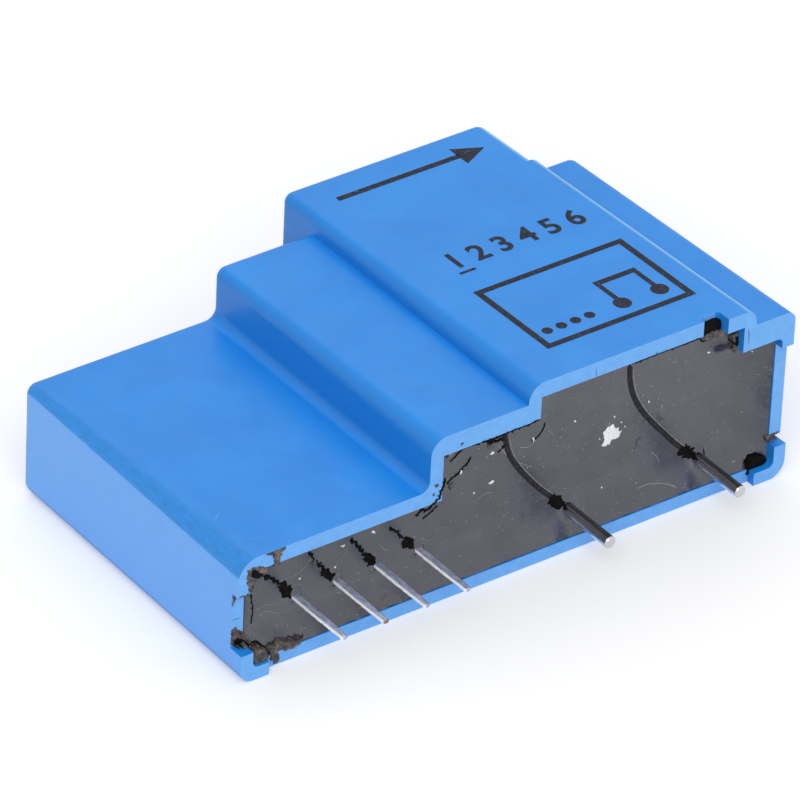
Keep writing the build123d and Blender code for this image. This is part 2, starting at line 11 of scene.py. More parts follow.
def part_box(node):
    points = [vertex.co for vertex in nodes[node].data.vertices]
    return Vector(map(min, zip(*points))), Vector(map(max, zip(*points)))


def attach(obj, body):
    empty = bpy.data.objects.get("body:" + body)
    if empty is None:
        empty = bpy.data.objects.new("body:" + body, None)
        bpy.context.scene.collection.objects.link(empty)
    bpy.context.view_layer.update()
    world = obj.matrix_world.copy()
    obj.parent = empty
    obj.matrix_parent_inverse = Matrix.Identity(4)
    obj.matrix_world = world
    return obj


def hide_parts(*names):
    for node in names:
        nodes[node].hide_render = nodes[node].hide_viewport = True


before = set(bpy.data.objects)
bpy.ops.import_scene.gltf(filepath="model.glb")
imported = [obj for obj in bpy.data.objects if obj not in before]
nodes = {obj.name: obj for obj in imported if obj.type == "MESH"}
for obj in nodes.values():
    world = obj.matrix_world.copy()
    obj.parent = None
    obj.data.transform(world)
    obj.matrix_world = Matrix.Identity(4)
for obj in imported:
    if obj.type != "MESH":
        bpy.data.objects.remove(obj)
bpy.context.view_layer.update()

# Lengths are millimetres in the frame of the model unless a name says otherwise.
MM = 0.001

# Case: the heights and widths that the potting and the rim marks follow
STANDOFF = 0.5
SIDE_WALL = 0.75
BACK_WALL = 0.75
DRAFT = math.radians(1)
# Its four levels along X, which are thin, middle, block and ledge: their heights outside and
# inside, and where the first three end inside and outside
TOPS = [7.1, 10.1, 11.2, 10.2]
THIN_TOP, BLOCK_TOP = TOPS[0], TOPS[2]
CEILINGS = [6.25, 8.95, 10.3, 8.75]
CEILING_ENDS = [-4.75, 1.3, 13.9]
TOP_ENDS = [x + side * SIDE_WALL for x, side in zip(CEILING_ENDS, (-1, -1, 1))]

case_low, case_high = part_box("case")
seat_y = case_low[1] / MM
rim_y = seat_y + STANDOFF
inside_left = case_low[0] / MM + SIDE_WALL
inside_right = case_high[0] / MM - SIDE_WALL

# Camera, from a fit of the photograph on the pitch of the signal pins
CAMERA_PLACE = (-217.93, -282.63, 244.26)
CAMERA_AIM = (1.49, 2.48, 3.31)
CAMERA_ROLL = math.radians(2.77)
CAMERA_LENS = 376.6

# Potting surface. It wets the walls up to the rim, sinks between them in a meniscus that is
# wide along the bottom and narrow under the roof, and has pits, ripples and cracks.
DISH = 1.5
WIDE_MENISCUS = 1.15
SIDE_MENISCUS = 0.8
NARROW_MENISCUS = 0.3

PIN_TIPS = {
    "tinned_pin_bare_tip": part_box("signal_pin_2")[0][1] / MM,
    "tinned_wire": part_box("primary_winding")[0][1] / MM,
}

# Colours. Where there are two of one kind, the surface varies between them.
BLACK = (0, 0, 0)
WHITE = (1, 1, 1)
BLUE = (0.011, 0.272, 0.82)
BLUE_DEEP = (0.008, 0.242, 0.76)
# Painted shade for the risers
BLUE_PAINTED_RISER_SHADE = (0.012, 0.205, 0.62)
# Painted light: paler blues for the end face and the rim
BLUE_END_PAINTED_LIGHT = (0.14, 0.405, 0.92)
BLUE_END_PAINTED_LIGHT_DEEP = (0.125, 0.38, 0.88)
BLUE_RIM_PAINTED_LIGHT = (0.165, 0.46, 0.95)
BLUE_RIM_PAINTED_LIGHT_DEEP = (0.135, 0.4, 0.88)
# Painted glint for the edge of the ledge
BLUE_PAINTED_GLINT = (0.17, 0.52, 0.95)
# Blues of the streaked band on the shoulder
SHOULDER_BLUE = (0.025, 0.27, 0.78)
SHOULDER_BLUE_DEEP = (0.02, 0.22, 0.62)
EPOXY = (0.012, 0.015, 0.035)
EPOXY_PALE = (0.03, 0.034, 0.055)
# Painted shade: black for the deep parts of the potting's surface
DEEP_SHADE_BLACK = (0.002, 0.002, 0.002)
DUST = (0.3, 0.3, 0.3)
SPILL_GREY = (0.06, 0.05, 0.05)
PRINT = (0.012, 0.012, 0.02)
PRINT_GAP = (0.05, 0.14, 0.36)
TIN = (0.56, 0.6, 0.78)
TIN_DARK = (0.26, 0.29, 0.42)
# Painted highlight and painted shade for the two sides of the signal pins
TIN_PAINTED_HIGHLIGHT = (0.97, 0.98, 1.0)
TIN_PAINTED_SHADE = (0.14, 0.14, 0.2)
# Painted dark reflection for the top of the wire
WIRE_PAINTED_DARK_TOP = (0.2, 0.2, 0.21)
WIRE_TIP = (0.62, 0.62, 0.64)
COPPER = (0.3, 0.18, 0.12)
# Usual spread of the values of a noise texture
NOISE_SPREAD = (0.3, 0.7)


def wired(tree, kind, feeds, **settings):
    """New node whose sockets, by name or number, are linked to sockets or set to values."""
    node = tree.nodes.new(kind)
    for name, value in settings.items():
        setattr(node, name, value)
    for key, value in feeds.items():
        if isinstance(value, bpy.types.NodeSocket):
            tree.links.new(value, node.inputs[key])
        else:
            node.inputs[key].default_value = value
    return node


class Shader:
    """A material with one principled shader, and short ways to feed its sockets."""

    def __init__(self, name, color, roughness, metallic=0.0, specular=0.5):
        self.material = bpy.data.materials.new(name)
        self.material.use_nodes = True
        self.tree = self.material.node_tree
        self.shader = self.tree.nodes["Principled BSDF"]
        inputs = self.shader.inputs
        inputs["Base Color"].default_value = (*color, 1)
        inputs["Roughness"].default_value = roughness
        inputs["Metallic"].default_value = metallic
        inputs["Specular IOR Level"].default_value = specular
        coordinates = self.tree.nodes.new("ShaderNodeTexCoord")
        self.place = coordinates.outputs["Object"]
        self.facing = coordinates.outputs["Normal"]

    def node(self, kind, feeds, **settings):
        return wired(self.tree, kind, feeds, **settings)

    def mapped(self, value, start=0.0, end=1.0, low=0.0, high=1.0):
        """Value mapped from one span of numbers to another, and held at its ends."""
        feeds = {"Value": value, "From Min": start, "From Max": end, "To Min": low, "To Max": high}
        return self.node("ShaderNodeMapRange", feeds).outputs["Result"]

    def at(self, axis, start, end):
        """Mask that is 0 at `start` and 1 at `end` along an axis, in millimetres."""
        places = self.node("ShaderNodeSeparateXYZ", {0: self.place})
        return self.mapped(places.outputs[axis], start * MM, end * MM)

    def faces(self, axis, start, end):
        """Mask that is 0 at `start` and 1 at `end` of what the normal has along an axis."""
        normals = self.node("ShaderNodeSeparateXYZ", {0: self.facing})
        return self.mapped(normals.outputs[axis], start, end)

    def both(self, first, second):
        """Product of two masks."""
        return self.node("ShaderNodeMath", {0: first, 1: second}, operation="MULTIPLY").outputs[0]

    def noise(self, size, detail, stretch=(1, 1, 1), rough=0.55):
        """Noise whose lumps are about `size` millimetres wide."""
        mapping = self.node("ShaderNodeMapping", {"Vector": self.place, "Scale": stretch})
        feeds = {"Vector": mapping.outputs[0], "Detail": detail, "Roughness": rough}
        feeds["Scale"] = 1 / (size * MM)
        return self.node("ShaderNodeTexNoise", feeds).outputs["Fac"]

    def ramp(self, value, stops):
        """Colour ramp over a value, with (position, colour) stops."""
        node = self.node("ShaderNodeValToRGB", {"Fac": value})
        elements = node.color_ramp.elements
        for element, (position, color) in zip(elements, stops):
            element.position, element.color = position, (*color, 1)
        for position, color in stops[2:]:
            elements.new(position).color = (*color, 1)
        return node.outputs["Color"]

    def mix(self, factor, first, second):
        """Mix of two colours, each a socket or an RGB tuple."""
        first, second = ((*c, 1) if isinstance(c, tuple) else c for c in (first, second))
        feeds = {"Factor": factor, 6: first, 7: second}
        return self.node("ShaderNodeMix", feeds, data_type="RGBA").outputs[2]

    def finish(self, color, rough, *bumps):
        """Feeds the shader with a colour, a roughness (size and detail of its noise, lowest and
        highest value) and bumps (size and detail of the noise, depth in millimetres), each over
        the one before. Gives the material."""
        size, detail, low, high = rough
        uneven = self.mapped(self.noise(size, detail), *NOISE_SPREAD, low, high)
        last = None
        for size, detail, depth in bumps:
            feeds = {"Distance": depth * MM, "Strength": 1.0, "Height": self.noise(size, detail)}
            if last is not None:
                feeds["Normal"] = last
            last = self.node("ShaderNodeBump", feeds).outputs["Normal"]
        for name, socket in (("Base Color", color), ("Roughness", uneven), ("Normal", last)):
            self.tree.links.new(socket, self.shader.inputs[name])
        return self.material


def plastic(name, color, dark, roughness, grain=0.12):
    """Moulded plastic: slow changes of shade over a fine grain."""
    made = Shader(name, color, roughness)
    shade = made.ramp(made.noise(4.0, 3), [(0.35, dark), (0.65, color)])
    rough = (1.2, 5, roughness - 0.05, roughness + 0.06)
    return made.finish(shade, rough, (grain, 3, 0.004), (2.5, 2, 0.008))


def metal(name, color, dark, roughness):
    """Tinned or bare metal with a mottled, slightly lumpy surface."""
    made = Shader(name, color, roughness, 1.0)
    shade = made.ramp(made.noise(0.35, 4), [(0.3, dark), (0.7, color)])
    rough = (0.25, 4, roughness - 0.1, roughness + 0.12)
    return made.finish(shade, rough, (0.4, 3, 0.008), (0.08, 2, 0.002))


def tinned(name, roughness, metallic, tip_color):
    """Tin-dipped metal, with the cut tip of the pin in another colour where one is given. The signal
    pins carry a painted highlight and painted shade on their sides, and the wire a painted dark
    reflection on its top.
    """
    made = Shader(name, (0.8, 0.82, 0.9), roughness, metallic)
    tin = made.ramp(made.noise(0.3, 4, (2, 0.7, 2)), [(0.3, TIN_DARK), (0.6, TIN)])
    if name == "tinned_wire":
        # Painted reflection: the top of the wire is painted dark
        painted_dark_top = made.at("Z", PRIMARY_HEIGHT + 0.04, PRIMARY_HEIGHT + 0.14)
        tin = made.mix(painted_dark_top, tin, WIRE_PAINTED_DARK_TOP)
    else:
        # Painted highlight on the side of the pin that faces -X, made non-metallic so that its white
        # shows, and painted shade on the side that faces +X
        painted_highlight_side = made.faces("X", -0.35, -0.7)
        tin = made.mix(painted_highlight_side, tin, TIN_PAINTED_HIGHLIGHT)
        painted_highlight_metallic = made.mapped(painted_highlight_side, low=metallic, high=0.0)
        made.tree.links.new(painted_highlight_metallic, made.shader.inputs["Metallic"])
        tin = made.mix(made.faces("X", 0.35, 0.7), tin, TIN_PAINTED_SHADE)
    if tip_color:
        tip_y = PIN_TIPS[name]
        tin = made.mix(made.at("Y", tip_y + 0.1, tip_y + 0.04), tin, tip_color)
    rough = (0.3, 3, roughness - 0.06, roughness + 0.08)
    return made.finish(tin, rough, (0.35, 3, 0.004), (0.07, 2, 0.001))


def case_material():
    """Blue plastic, painted paler on the end face and the rim as light from the front would make them,
    with painted shade on the risers, a painted glint on the ledge's edge and a darker streaked band on
    the shoulder.
    """
    made = Shader("case_blue", BLUE, 0.4, specular=0.38)
    end_x = case_low[0] / MM + 0.9
    # Painted light: the end face is painted paler
    end_face = made.both(made.at("X", end_x, end_x - 0.1), made.faces("X", -0.955, -0.975))
    # Darker streaked band on the rounded shoulder above the end face
    shoulder = made.both(
        made.at("X", end_x + 0.95, end_x + 0.55),
        made.both(made.faces("X", -0.08, -0.34), made.faces("X", -0.97, -0.95)),
    )
    # Painted light: the rim is painted paler
    rim = made.both(made.at("Y", rim_y + 0.6, rim_y + 0.55), made.faces("Y", -0.9, -0.96))
    # Painted shade on the risers, which face -X
    painted_riser_shade = made.faces("X", -0.25, -0.9)
    level = made.ramp(made.noise(4.0, 3), [(0.35, BLUE_DEEP), (0.65, BLUE)])
    # Painted glint along the rounded edge where the block steps down to the ledge
    painted_ledge_glint = made.both(
        made.at("Z", BLOCK_TOP - 0.62, BLOCK_TOP - 0.5),
        made.both(made.faces("X", 0.16, 0.34), made.faces("X", 0.96, 0.85)),
    )
    plain = made.mix(painted_ledge_glint, made.mix(painted_riser_shade, level, BLUE_PAINTED_RISER_SHADE), BLUE_PAINTED_GLINT)
    streaks = made.ramp(made.noise(0.3, 5, (2, 0.4, 2)), [(0.35, SHOULDER_BLUE_DEEP), (0.7, SHOULDER_BLUE)])
    painted_light_end = made.ramp(made.noise(0.14, 3), [(0.3, BLUE_END_PAINTED_LIGHT_DEEP), (0.7, BLUE_END_PAINTED_LIGHT)])
    # Paler colour of painted light for the rim
    cut = made.ramp(made.noise(0.5, 4), [(0.3, BLUE_RIM_PAINTED_LIGHT_DEEP), (0.7, BLUE_RIM_PAINTED_LIGHT)])
    blue = made.mix(rim, made.mix(end_face, made.mix(shoulder, plain, streaks), painted_light_end), cut)
    return made.finish(blue, (1.2, 5, 0.35, 0.46), (0.16, 3, 0.0045), (2.5, 2, 0.009))


def potting_material():
    """Glossy dark epoxy with dust, dull patches and small ripples, painted black as shade where its
    surface lies deep, in pits, cracks and gaps.
    """
    made = Shader("potting_epoxy", EPOXY, 0.16, specular=0.93)
    made.shader.inputs["IOR"].default_value = 1.6
    dust = made.ramp(made.noise(0.11, 2, rough=0.4), [(0.70, BLACK), (0.76, WHITE)])
    shade = made.ramp(made.noise(1.6, 5), [(0.35, EPOXY), (0.7, EPOXY_PALE)])
    # Painted shade: the deep parts of the surface turn black
    deep_shade = made.at("Y", rim_y + DISH + 0.12, rim_y + DISH + 0.3)
    skin = made.mix(deep_shade, made.mix(dust, shade, DUST), DEEP_SHADE_BLACK)
    return made.finish(skin, (0.9, 5, 0.17, 0.3), (0.7, 4, 0.01), (0.12, 3, 0.002))


def print_material():
    """Black print in which the blue of the case shows through in specks."""
    made = Shader("print_black", PRINT, 0.5, specular=0.2)
    gaps = made.ramp(made.noise(0.13, 3, rough=0.7), [(0.6, BLACK), (0.66, WHITE)])
    return made.finish(made.mix(gaps, PRINT, PRINT_GAP), (0.2, 3, 0.5, 0.7), (0.1, 3, 0.003))


def dull(name, color, dark, specular=0.1):
    """Rough black or grey epoxy that hardly shines."""
    made = Shader(name, color, 0.8, specular=specular)
    shade = made.ramp(made.noise(0.2, 4), [(0.42, dark), (0.68, color)])
    return made.finish(shade, (0.15, 3, 0.6, 0.9), (0.12, 4, 0.02), (0.04, 2, 0.004))


def spill_material():
    """Epoxy skin that ran over the rim: grey-brown, with tan where it is thin."""
    made = Shader("potting_spill", SPILL_GREY, 0.35)
    stops = [(0.36, (0.008, 0.008, 0.01)), (0.5, (0.06, 0.052, 0.055)), (0.66, (0.18, 0.13, 0.1))]
    skin = made.ramp(made.noise(0.3, 4, rough=0.65), stops)
    return made.finish(skin, (0.2, 3, 0.25, 0.6), (0.18, 4, 0.03), (0.06, 3, 0.006))


def new_object(name, data):
    made = bpy.data.objects.new(name, data)
    bpy.context.scene.collection.objects.link(made)
    return made


def new_piece(name, mesh, material):
    """Object for a mesh of the scene's own, riding on the part's one body."""
    piece = new_object(name, mesh)
    mesh.materials.append(material)
    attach(piece, "root")
    return piece


def drawn_piece(name, bm, material, smooth=True):
    """Piece from a mesh that was drawn in millimetres."""
    mesh = bpy.data.meshes.new(name)
    bmesh.ops.scale(bm, vec=(MM, MM, MM), verts=bm.verts)
    for face in bm.faces:
        face.smooth = smooth
    bm.to_mesh(mesh)
    bm.free()
    return new_piece(name, mesh, material)


def lumps(x, y, z, size):
    """Smooth noise from -1 to 1 with lumps of about `size` millimetres."""
    return noise.noise(Vector((x, y, z)) / size)


# Outline of the opening, from its low left corner
LEVEL_ENDS = [inside_left, *CEILING_ENDS, inside_right]
ROOF = [(x, height) for n, height in enumerate(CEILINGS) for x in LEVEL_ENDS[n : n + 2]]
OUTLINE = [(inside_left, BACK_WALL), (inside_right, BACK_WALL), *reversed(ROOF)]
# Reach of the meniscus at each side of the outline, in the same order
MENISCI = [WIDE_MENISCUS, SIDE_MENISCUS] + [NARROW_MENISCUS] * 8
# Dips of the rim: place of the wall, height span and depth. Epoxy fills the second one.
DIPS = [(inside_left, (1.7, 5.0), 0.5), (inside_right, (1.95, 2.35), 0.4)]
SIGNAL_PINS = ["signal_pin_1", "signal_pin_2", "signal_pin_3", "signal_pin_4"]
WIRE_RADIUS = 0.35
PRIMARY_HEIGHT = 1.95
PRIMARY_PINS_X = (4.1, 12.5)

# Pits: x, z, radius, depth
PITS = [
    (1.6, 9.45, 0.12, 1.2), (9.0, 4.0, 0.14, 0.2), (8.85, 3.65, 0.12, 0.15),
    (-1.0, 8.4, 0.24, 1.0), (-0.7, 8.6, 0.2, 0.9),
]
# Cracks: half width, depth and the points along each
CRACKS = [
    (0.07, 0.5, [(-4.45, 7.01), (-3.97, 7.32), (-3.48, 7.51), (-3.06, 7.71), (-2.95, 7.98)]),
    (0.05, 0.35, [(-2.2, 8.3), (-1.7, 8.15), (-1.2, 8.0), (-0.9, 7.7)]),
    (0.04, 0.25, [(0.2, 7.9), (0.55, 8.1), (0.95, 8.35), (1.25, 8.3)]),
]
# Stretches of wall where the epoxy has let go: x span, z span and width, and their depth
GAPS = [
    ((-6.4, -4.7), (5.9, 6.4), 0.16),
    ((-4.9, -4.5), (6.3, 7.4), 0.24),
    ((-3.8, 1.3), (8.7, 9.1), 0.15),
    ((7.0, 11.6), (10.1, 10.5), 0.07),
    ((1.2, 1.5), (9.0, 9.4), 0.06),
]
GAP_DEPTH = 1.9
# Ring in the skin near the right pin: x, z and radius, and the height and width of its bead
RING = (10.65, 5.25, 0.36)
RING_BEAD = (0.035, 0.07)
# Depth of the epoxy's edge under the rim
CONTACT = 0.1
# Waves of the surface: height, size of the lumps and seed. The first ones fade away from the
# walls, and the others grow there, each over its reach.
WALL_WAVES = [(0.09, 0.6, 3.0), (0.05, 0.2, 8.0)]
WALL_WAVES_REACH = 0.12
OPEN_WAVES = [(0.05, 3.0, 1.0), (0.008, 0.45, 5.0)]
OPEN_WAVES_REACH = 0.5
# Height and width of the fillet that climbs each pin
PIN_FILLET = (0.2, 0.14)


# Lines of the grid of the potting's front: their places near each end of a level, their
# spacing in the middle, and in a level that is too short for both
GRID_ENDS = [0, 0.04, 0.08, 0.13, 0.19, 0.26, 0.34, 0.43, 0.53]
GRID_STEP = 0.13
GRID_FINE_STEP = 0.06


def graded(low, high):
    """Values from low to high that lie closer together near both ends."""
    *near, reach = GRID_ENDS
    length = high - low
    if length < 2.4 * reach:
        return list(np.linspace(low, high, max(3, round(length / GRID_FINE_STEP)) + 1))
    count = math.ceil((length - 2 * reach) / GRID_STEP)
    middle = np.linspace(low + reach, high - reach, count + 1)
    return [low + e for e in near] + list(middle) + [high - e for e in reversed(near)]


def graded_lines(keys):
    lines = []
    for low, high in zip(keys, keys[1:]):
        lines += graded(low, high)[:-1]
    return lines + [keys[-1]]


def segment_distance(x, z, start, end):
    """Distance from each point to a straight segment."""
    (ax, az), (bx, bz) = start, end
    along = ((x - ax) * (bx - ax) + (z - az) * (bz - az)) / ((bx - ax) ** 2 + (bz - az) ** 2)
    along = np.clip(along, 0, 1)
    return np.hypot(x - ax - along * (bx - ax), z - az - along * (bz - az))


def wall_effect(x, z):
    """Distance to the nearest wall, and how far the menisci raise the surface, 0 to 1."""
    best = np.full(x.shape, 1e9)
    sunk = np.ones(x.shape)
    for start, end, reach in zip(OUTLINE, OUTLINE[1:] + OUTLINE[:1], MENISCI):
        away = segment_distance(x, z, start, end)
        best = np.minimum(best, away)
        sunk *= 1 - np.exp(-away / reach)
    return best, 1 - sunk


def path_distance(x, z, points):
    best = np.full(x.shape, 1e9)
    for start, end in zip(points, points[1:]):
        best = np.minimum(best, segment_distance(x, z, start, end))
    return best


def noise_field(x, z, size, seed):
    return np.array([lumps(a, b, seed, size) for a, b in zip(x, z)])


def waves(x, z, layers):
    return sum(height * noise_field(x, z, size, seed) for height, size, seed in layers)


def pin_places():
    """Centre and half sizes of each pin where it leaves the potting."""
    places = []
    for name in SIGNAL_PINS:
        low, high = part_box(name)
        doubled = [low[0] + high[0], low[2] + high[2], high[0] - low[0], high[2] - low[2]]
        places.append([value / 2 / MM for value in doubled])
    return places + [(x, PRIMARY_HEIGHT, WIRE_RADIUS, WIRE_RADIUS) for x in PRIMARY_PINS_X]


def surface_y(x, z):
    """Place along Y of the potting surface at each point (x, z)."""
    wall, raised = wall_effect(x, z)
    contact = np.full(x.shape, CONTACT)
    for dip_x, (dip_low, dip_high), dip_depth in DIPS[:1]:
        middle, half = (dip_low + dip_high) / 2, (dip_high - dip_low) / 2
        beside = np.exp(-(((z - middle) / half) ** 4) - ((x - dip_x) / 0.4) ** 2)
        contact += dip_depth * beside
    depth = DISH + (contact - DISH) * raised
    depth += waves(x, z, WALL_WAVES) * np.exp(-wall / WALL_WAVES_REACH)
    depth += (1 - np.exp(-wall / OPEN_WAVES_REACH)) * waves(x, z, OPEN_WAVES)
    fillet_height, fillet_width = PIN_FILLET
    for px, pz, half_x, half_z in pin_places():
        away = np.hypot(np.maximum(abs(x - px) - half_x, 0), np.maximum(abs(z - pz) - half_z, 0))
        depth -= fillet_height * np.exp(-away / fillet_width)
    for px, pz, radius, drop in PITS:
        away = np.hypot(x - px, z - pz) / radius
        uneven = 1 + 0.35 * noise_field(x, z, 0.12, 2.0)
        depth += drop * np.exp(-((away * uneven) ** 4))
    for half, drop, points in CRACKS:
        width = half * (1 + 0.6 * noise_field(x, z, 0.25, 6.0))
        depth += drop * np.exp(-((path_distance(x, z, points) / width) ** 4))
    for (x_low, x_high), (z_low, z_high), width in GAPS:
        inside = (x > x_low) & (x < x_high) & (z > z_low) & (z < z_high)
        reach = width * (0.75 + 0.8 * noise_field(x, z, 0.35, 4.0))
        depth += np.where(inside & (wall < reach), GAP_DEPTH, 0.0)
    ring_x, ring_z, ring_radius = RING
    bead_height, bead_width = RING_BEAD
    ring = np.hypot(x - ring_x, z - ring_z) - ring_radius
    depth -= bead_height * np.exp(-((ring / bead_width) ** 2))
    return rim_y + depth


def potting_front(bm):
    """Fine grid over the opening of the case, added to the mesh in metres."""
    xs = graded_lines(LEVEL_ENDS)
    zs = graded_lines([BACK_WALL, *sorted(CEILINGS)])
    cells = [
        (i, j)
        for i in range(len(xs) - 1)
        for j in range(len(zs) - 1)
        if (zs[j] + zs[j + 1]) / 2 < CEILINGS[bisect(CEILING_ENDS, (xs[i] + xs[i + 1]) / 2)]
    ]
    corners = sorted({(i + a, j + b) for i, j in cells for a in (0, 1) for b in (0, 1)})
    x = np.array([xs[i] for i, j in corners])
    z = np.array([zs[j] for i, j in corners])
    y = surface_y(x, z)
    verts = {
        corner: bm.verts.new((x[n] * MM, y[n] * MM, z[n] * MM)) for n, corner in enumerate(corners)
    }
    for i, j in cells:
        bm.faces.new([verts[i, j], verts[i + 1, j], verts[i + 1, j + 1], verts[i, j + 1]])


def make_potting(material):
    """The potting of the model, with its flat-faced front replaced by the fine one."""
    bm = bmesh.new()
    bm.from_mesh(nodes["potting"].data)
    front = (rim_y + DISH + 0.005) * MM
    old = [face for face in bm.faces if all(v.co.y < front for v in face.verts)]
    bmesh.ops.delete(bm, geom=old, context="FACES")
    for face in bm.faces:
        face.smooth = False
    start = len(bm.faces)
    potting_front(bm)
    surface = BVHTree.FromBMesh(bm)
    bm.faces.ensure_lookup_table()
    for face in bm.faces[start:]:
        face.smooth = True
    mesh = bpy.data.meshes.new("potting_fill")
    bm.to_mesh(mesh)
    bm.free()
    piece = new_piece("potting_fill", mesh, material)
    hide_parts("potting")
    return surface


def middle_of(points):
    return [sum(values) / len(points) for values in zip(*points)]


def shrunk(points, share):
    """Outline drawn in towards its middle."""
    middle_u, middle_v = middle_of(points)
    return [(middle_u + (u - middle_u) * share, middle_v + (v - middle_v) * share) for u, v in points]


RAGGED_LUMPS = 0.16


def ragged(points, amount, seed, spacing=0.06):
    """Closed outline through the points, with its edge made uneven."""
    outline = []
    for (ax, az), (bx, bz) in zip(points, points[1:] + points[:1]):
        count = max(1, round(math.hypot(bx - ax, bz - az) / spacing))
        for step in range(count):
            t = step / count
            x, z = ax + (bx - ax) * t, az + (bz - az) * t
            shift_x, shift_z = (amount * lumps(x, z, s, RAGGED_LUMPS) for s in (seed, seed + 7.3))
            outline.append((x + shift_x, z + shift_z))
    return outline


# Rings of a dome from its edge to its top: share of the outline, share of the height
DOME_PROFILE = [(1.0, 0.0), (0.93, 0.5), (0.82, 0.75), (0.65, 0.9), (0.45, 1.0), (0.2, 1.0)]
DOME_LIFT = 0.03
# How far the sides of a dome go down under its edge, and on the rim, which has dips
SKIRT = 0.1
RIM_SKIRT = 0.45


def dome(bm, outline, place, height, skirt=SKIRT):
    """Low dome over an outline. `place` turns (u, v, height) into a point."""
    rings = [[bm.verts.new(place(u, v, -skirt)) for u, v in outline]]
    for share, rise in DOME_PROFILE:
        lift = DOME_LIFT + rise * height
        rings.append([bm.verts.new(place(u, v, lift)) for u, v in shrunk(outline, share)])
    top = bm.verts.new(place(*middle_of(outline), DOME_LIFT + height))
    count = len(outline)
    for low, high in zip(rings, rings[1:]):
        for n in range(count):
            m = (n + 1) % count
            bm.faces.new([low[n], low[m], high[m], high[n]])
    for n in range(count):
        bm.faces.new([rings[-1][n], rings[-1][(n + 1) % count], top])


# How far marks on the rim stay in from the outline of the case
RIM_MARGIN = 0.04


def on_rim(u, v, height):
    """Point over the rim and its dips, kept inside the outline of the case."""
    u = min(max(u, case_low[0] / MM + RIM_MARGIN), case_high[0] / MM - RIM_MARGIN)
    v = min(max(v, RIM_MARGIN), TOPS[bisect(TOP_ENDS, u)] - RIM_MARGIN)
    y = rim_y
    for dip_x, (dip_low, dip_high), dip_depth in DIPS:
        if (u - dip_x) * dip_x > 0 and dip_low < v < dip_high:
            y += dip_depth
    return (u, y - height, v)


# Epoxy that ran over the rim: outline points (x, z) and height
SPILLS = [
    ([(-15.53, 7.1), (-14.35, 7.14), (-14.4, 7.0), (-14.62, 6.9), (-14.62, 6.6), (-14.72, 6.12),
      (-15.12, 6.12), (-15.08, 6.5), (-15.15, 6.9)], 0.03),
    ([(-16.7, 6.45), (-16.2, 6.5), (-15.7, 6.35), (-15.35, 6.15), (-15.5, 5.9), (-16.1, 5.8),
      (-16.4, 5.0), (-16.62, 5.2)], 0.04),
    ([(-15.2, 1.15), (-14.75, 1.1), (-14.55, 0.5), (-14.6, 0.02), (-14.85, 0.05), (-15.1, 0.5)], 0.06),
    ([(16.3, 2.25), (16.6, 2.5), (17.1, 2.42), (17.22, 2.1), (17.15, 1.9), (16.7, 1.85),
      (16.4, 1.9)], 0.06),
    ([(-17.15, 5.05), (-16.6, 5.02), (-16.5, 4.8), (-16.75, 4.72), (-17.05, 4.8), (-17.12, 4.3),
      (-17.2, 4.2)], 0.03),
    ([(-17.2, 2.75), (-16.9, 2.85), (-16.4, 2.2), (-16.36, 1.72), (-16.9, 1.55), (-17.2, 1.9)], 0.03),
    ([(-16.42, 1.56), (-16.1, 1.6), (-15.5, 1.35), (-15.25, 0.9), (-15.26, 0.5), (-15.6, 0.3),
      (-16.1, 0.28), (-16.4, 0.7)], 0.3),
    ([(-14.9, 1.0), (-14.3, 1.25), (-13.6, 1.05), (-13.1, 1.0), (-13.2, 0.72), (-14.2, 0.62)], 0.04),
    ([(-5.2, 7.3), (-5.05, 7.36), (-5.0, 7.22), (-5.15, 7.18)], 0.02),
    ([(-5.35, 6.85), (-5.22, 6.9), (-5.18, 6.78), (-5.3, 6.72)], 0.02),
    ([(-3.75, 9.35), (-3.6, 9.42), (-3.52, 9.3), (-3.68, 9.24)], 0.02),
    ([(13.5, 9.8), (13.95, 9.75), (14.0, 9.2), (13.95, 8.6), (13.7, 8.6), (13.6, 9.2)], 0.04),
    ([(11.5, 10.2), (12.2, 10.4), (13.0, 10.3), (13.4, 10.1), (12.6, 9.9), (11.8, 9.95)], 0.03),
]
# Lumps of epoxy that fill the pour notch and the corner behind the right foot: low and high
# corners, the second number from the plane of the rim
PLUGS = [
    ((11.52, 0.03, 9.8), (12.88, 0.5, 10.9)),
    ((-16.6, 0.05, 0.6), (-15.4, 0.7, 1.5)),
]
PLUG_STEPS = 12


def plug(bm, low, high, seed):
    """Closed lumpy block with rounded corners that fills a corner or notch."""
    shell = bmesh.new()
    bmesh.ops.create_cube(shell, size=2)
    bmesh.ops.subdivide_edges(shell, edges=shell.edges[:], cuts=PLUG_STEPS, use_grid_fill=True)
    placed = {}
    for vert in shell.verts:
        u, v, w = vert.co
        soft = (abs(u) ** 6 + abs(v) ** 6 + abs(w) ** 6) ** (-1 / 6)
        point = [(a + b) / 2 + c * soft * (b - a) / 2 for a, b, c in zip(low, high, (u, v, w))]
        rough = 1 - 0.12 * (0.5 + 0.5 * lumps(point[0], point[1] + seed, point[2], 0.3))
        middle = [(a + b) / 2 for a, b in zip(low, high)]
        point = [m + (q - m) * rough for m, q in zip(middle, point)]
        placed[vert] = bm.verts.new((point[0], rim_y + point[1], point[2]))
    for face in shell.faces:
        bm.faces.new([placed[vert] for vert in face.verts])
    shell.free()


def make_spills(material):
    bm = bmesh.new()
    for number, (points, height) in enumerate(SPILLS):
        dome(bm, ragged(points, 0.13, number * 3.1), on_rim, height, RIM_SKIRT)
    drawn_piece("potting_spill", bm, material)


# Marks on the potting are placed where the photograph shows them in the plane of the rim,
# and go back from there along its line of sight to the surface.
SIGHT = Vector((0.77, 1.0, -0.845)).normalized()


